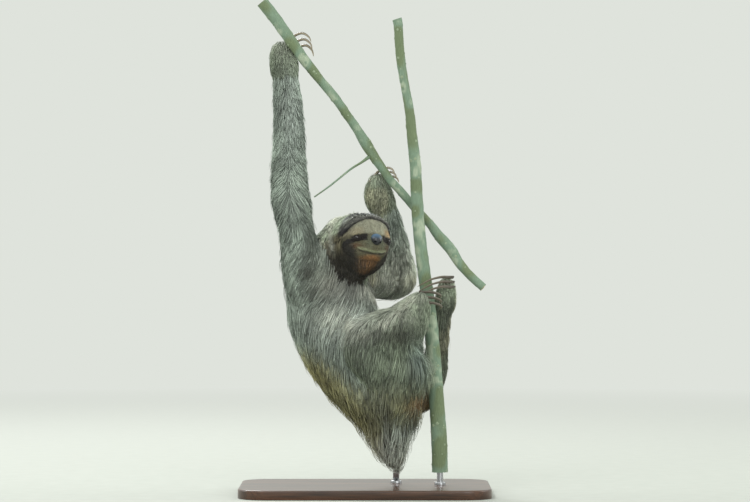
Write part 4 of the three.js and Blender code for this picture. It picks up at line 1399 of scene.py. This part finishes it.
for limb, (middle, root_step, tip_step) in GRIPS.items():
    shares = np.linspace(0, 1, len(middle))[:, None]
    step = np.array(root_step) * (1 - shares) + np.array(tip_step) * shares
    for number in (1, 2, 3):
        rows = np.array(middle, float) + (number - 2) * step
        rows = np.vstack([rows[0] - 0.5 * (rows[1] - rows[0]), rows])  # the root, in the fur
        course = along_course(rows, CLAW["rings"])
        along = np.linspace(0, 1, CLAW["rings"])
        tangent = unit(np.gradient(course, axis=0))
        across = unit(np.cross(rows[2] - rows[1], rows[4] - rows[2]))
        back = np.cross(tangent, across)
        half = len(course) // 2
        back *= np.sign((course[half] - course[[0, -1]].mean(axis=0)) @ back[half])
        thin = CLAW["tip"] + (1 - CLAW["tip"]) * (1 - along**1.7)
        thin[-3:] *= (0.94, 0.74, 0.3)  # the blunt tip
        rings, tint, fibre = [], [], []
        for centre, up, share, size in zip(course, back, along, thin):
            ring = []
            for turn in np.arange(CLAW["sides"]) / CLAW["sides"] * math.tau:
                high, wide = math.sin(turn), math.cos(turn)
                high = high + 0.10 * max(high, 0) ** 3 if high > 0 else high * 0.86
                wide *= 1 - 0.16 * max(math.sin(turn), 0)
                ring.append(centre + size / 2 * (across * wide * CLAW["width"] + up * high * CLAW["depth"]))
                worn = max(0, 1 - abs(math.sin(turn) + 0.4) * 2.6) * 0.8 + 0.3 * share**4
                colour = HORN["root"] + (HORN["back"] - HORN["root"]) * min(1, share * 1.8)
                tint.append(colour + (HORN["edge"] - colour) * min(worn, 0.9))
                fibre.append((turn * CLAW["width"] * 0.9, share * 5, number * 9.0))
            rings.append(ring)
        name = f"{limb}_claw_{number}"
        mesh = lofted(name, rings)
        shape = bmesh.new()
        shape.from_mesh(mesh)
        bmesh.ops.recalc_face_normals(shape, faces=shape.faces)
        shape.to_mesh(mesh)
        shape.free()
        paint(mesh, np.array(tint))
        fibre_layer = mesh.attributes.new("Fibres", "FLOAT_VECTOR", "POINT")
        fibre_layer.data.foreach_set("vector", np.array(fibre).ravel())
        piece(f"{name}_horn", mesh, horn, "claw", name)

# ---------------------------------------------------------------------------------------- room
# A plain pale floor that fades into a plain pale world, one large soft light from above on the left, a weaker
# one on the right, a soft one from behind that catches the tips of the fur, and one from each side.

PALE = linear("#dfe3dc")
world = bpy.data.worlds.new("pale room")
bpy.context.scene.world = world
world.use_nodes = True
world.node_tree.nodes["Background"].inputs["Color"].default_value = (*PALE, 1)
world.node_tree.nodes["Background"].inputs["Strength"].default_value = 1.0
bpy.context.scene.view_settings.view_transform = "Standard"

floor_paint, tree, shader = material_of("matt pale floor", Roughness=0.9)
# Faintly mottled near the stand. Far from it the floor takes the colour of the world, so no edge shows.
mottle = noise_over(tree, [1 / (30 * MM)] * 3, 3)
tree.links.new(shader.inputs["Base Color"], between(tree, mottle, ("#a6aaa3", "#b0b4ad")))
where = node(tree, "ShaderNodeTexCoord")
away = node(tree, "ShaderNodeVectorMath", {"operation": "LENGTH"}, Vector=where.outputs["Object"])
fade = node(tree, "ShaderNodeMapRange", {"From Min": 0.5, "From Max": 3.9}, Value=away.outputs["Value"])
glow = node(tree, "ShaderNodeEmission", {"Color": (*PALE, 1)})
mixed = node(tree, "ShaderNodeMixShader", Fac=fade.outputs["Result"])
tree.links.new(mixed.inputs[1], shader.outputs["BSDF"])
tree.links.new(mixed.inputs[2], glow.outputs["Emission"])
tree.links.new(tree.nodes["Material Output"].inputs["Surface"], mixed.outputs["Shader"])

FLOOR_RADIUS = 60  # m
ground = bpy.data.meshes.new("floor")
ground.from_pydata(circle(0, 0, FLOOR_RADIUS, 0, sides=64), [], [tuple(range(64))])
ground.materials.append(floor_paint)
floor = in_scene("floor", ground)

# Each light: where it hangs, its size and its power. All of them face the middle of the sloth.
LIGHTS = {
    "key": ((-1.3, -2.7, 2.7), 2.2, 60),
    "fill": ((1.5, -3.4, 1.3), 2.2, 52),
    "rim": ((-1.0, 2.2, 2.6), 1.2, 85),
    "side": ((3.4, 0.5, 1.7), 2.0, 45),
    "other side": ((-3.4, 0.8, 1.7), 2.0, 40),
}
for name, (place, size, power) in LIGHTS.items():
    lamp = bpy.data.lights.new(name, "AREA")
    lamp.size = size
    lamp.energy = power
    held = in_scene(name, lamp)
    held.location = place
    held.visible_camera = False
    held.rotation_euler = (Vector((0, 0, 0.4)) - Vector(place)).to_track_quat("-Z", "Y").to_euler()
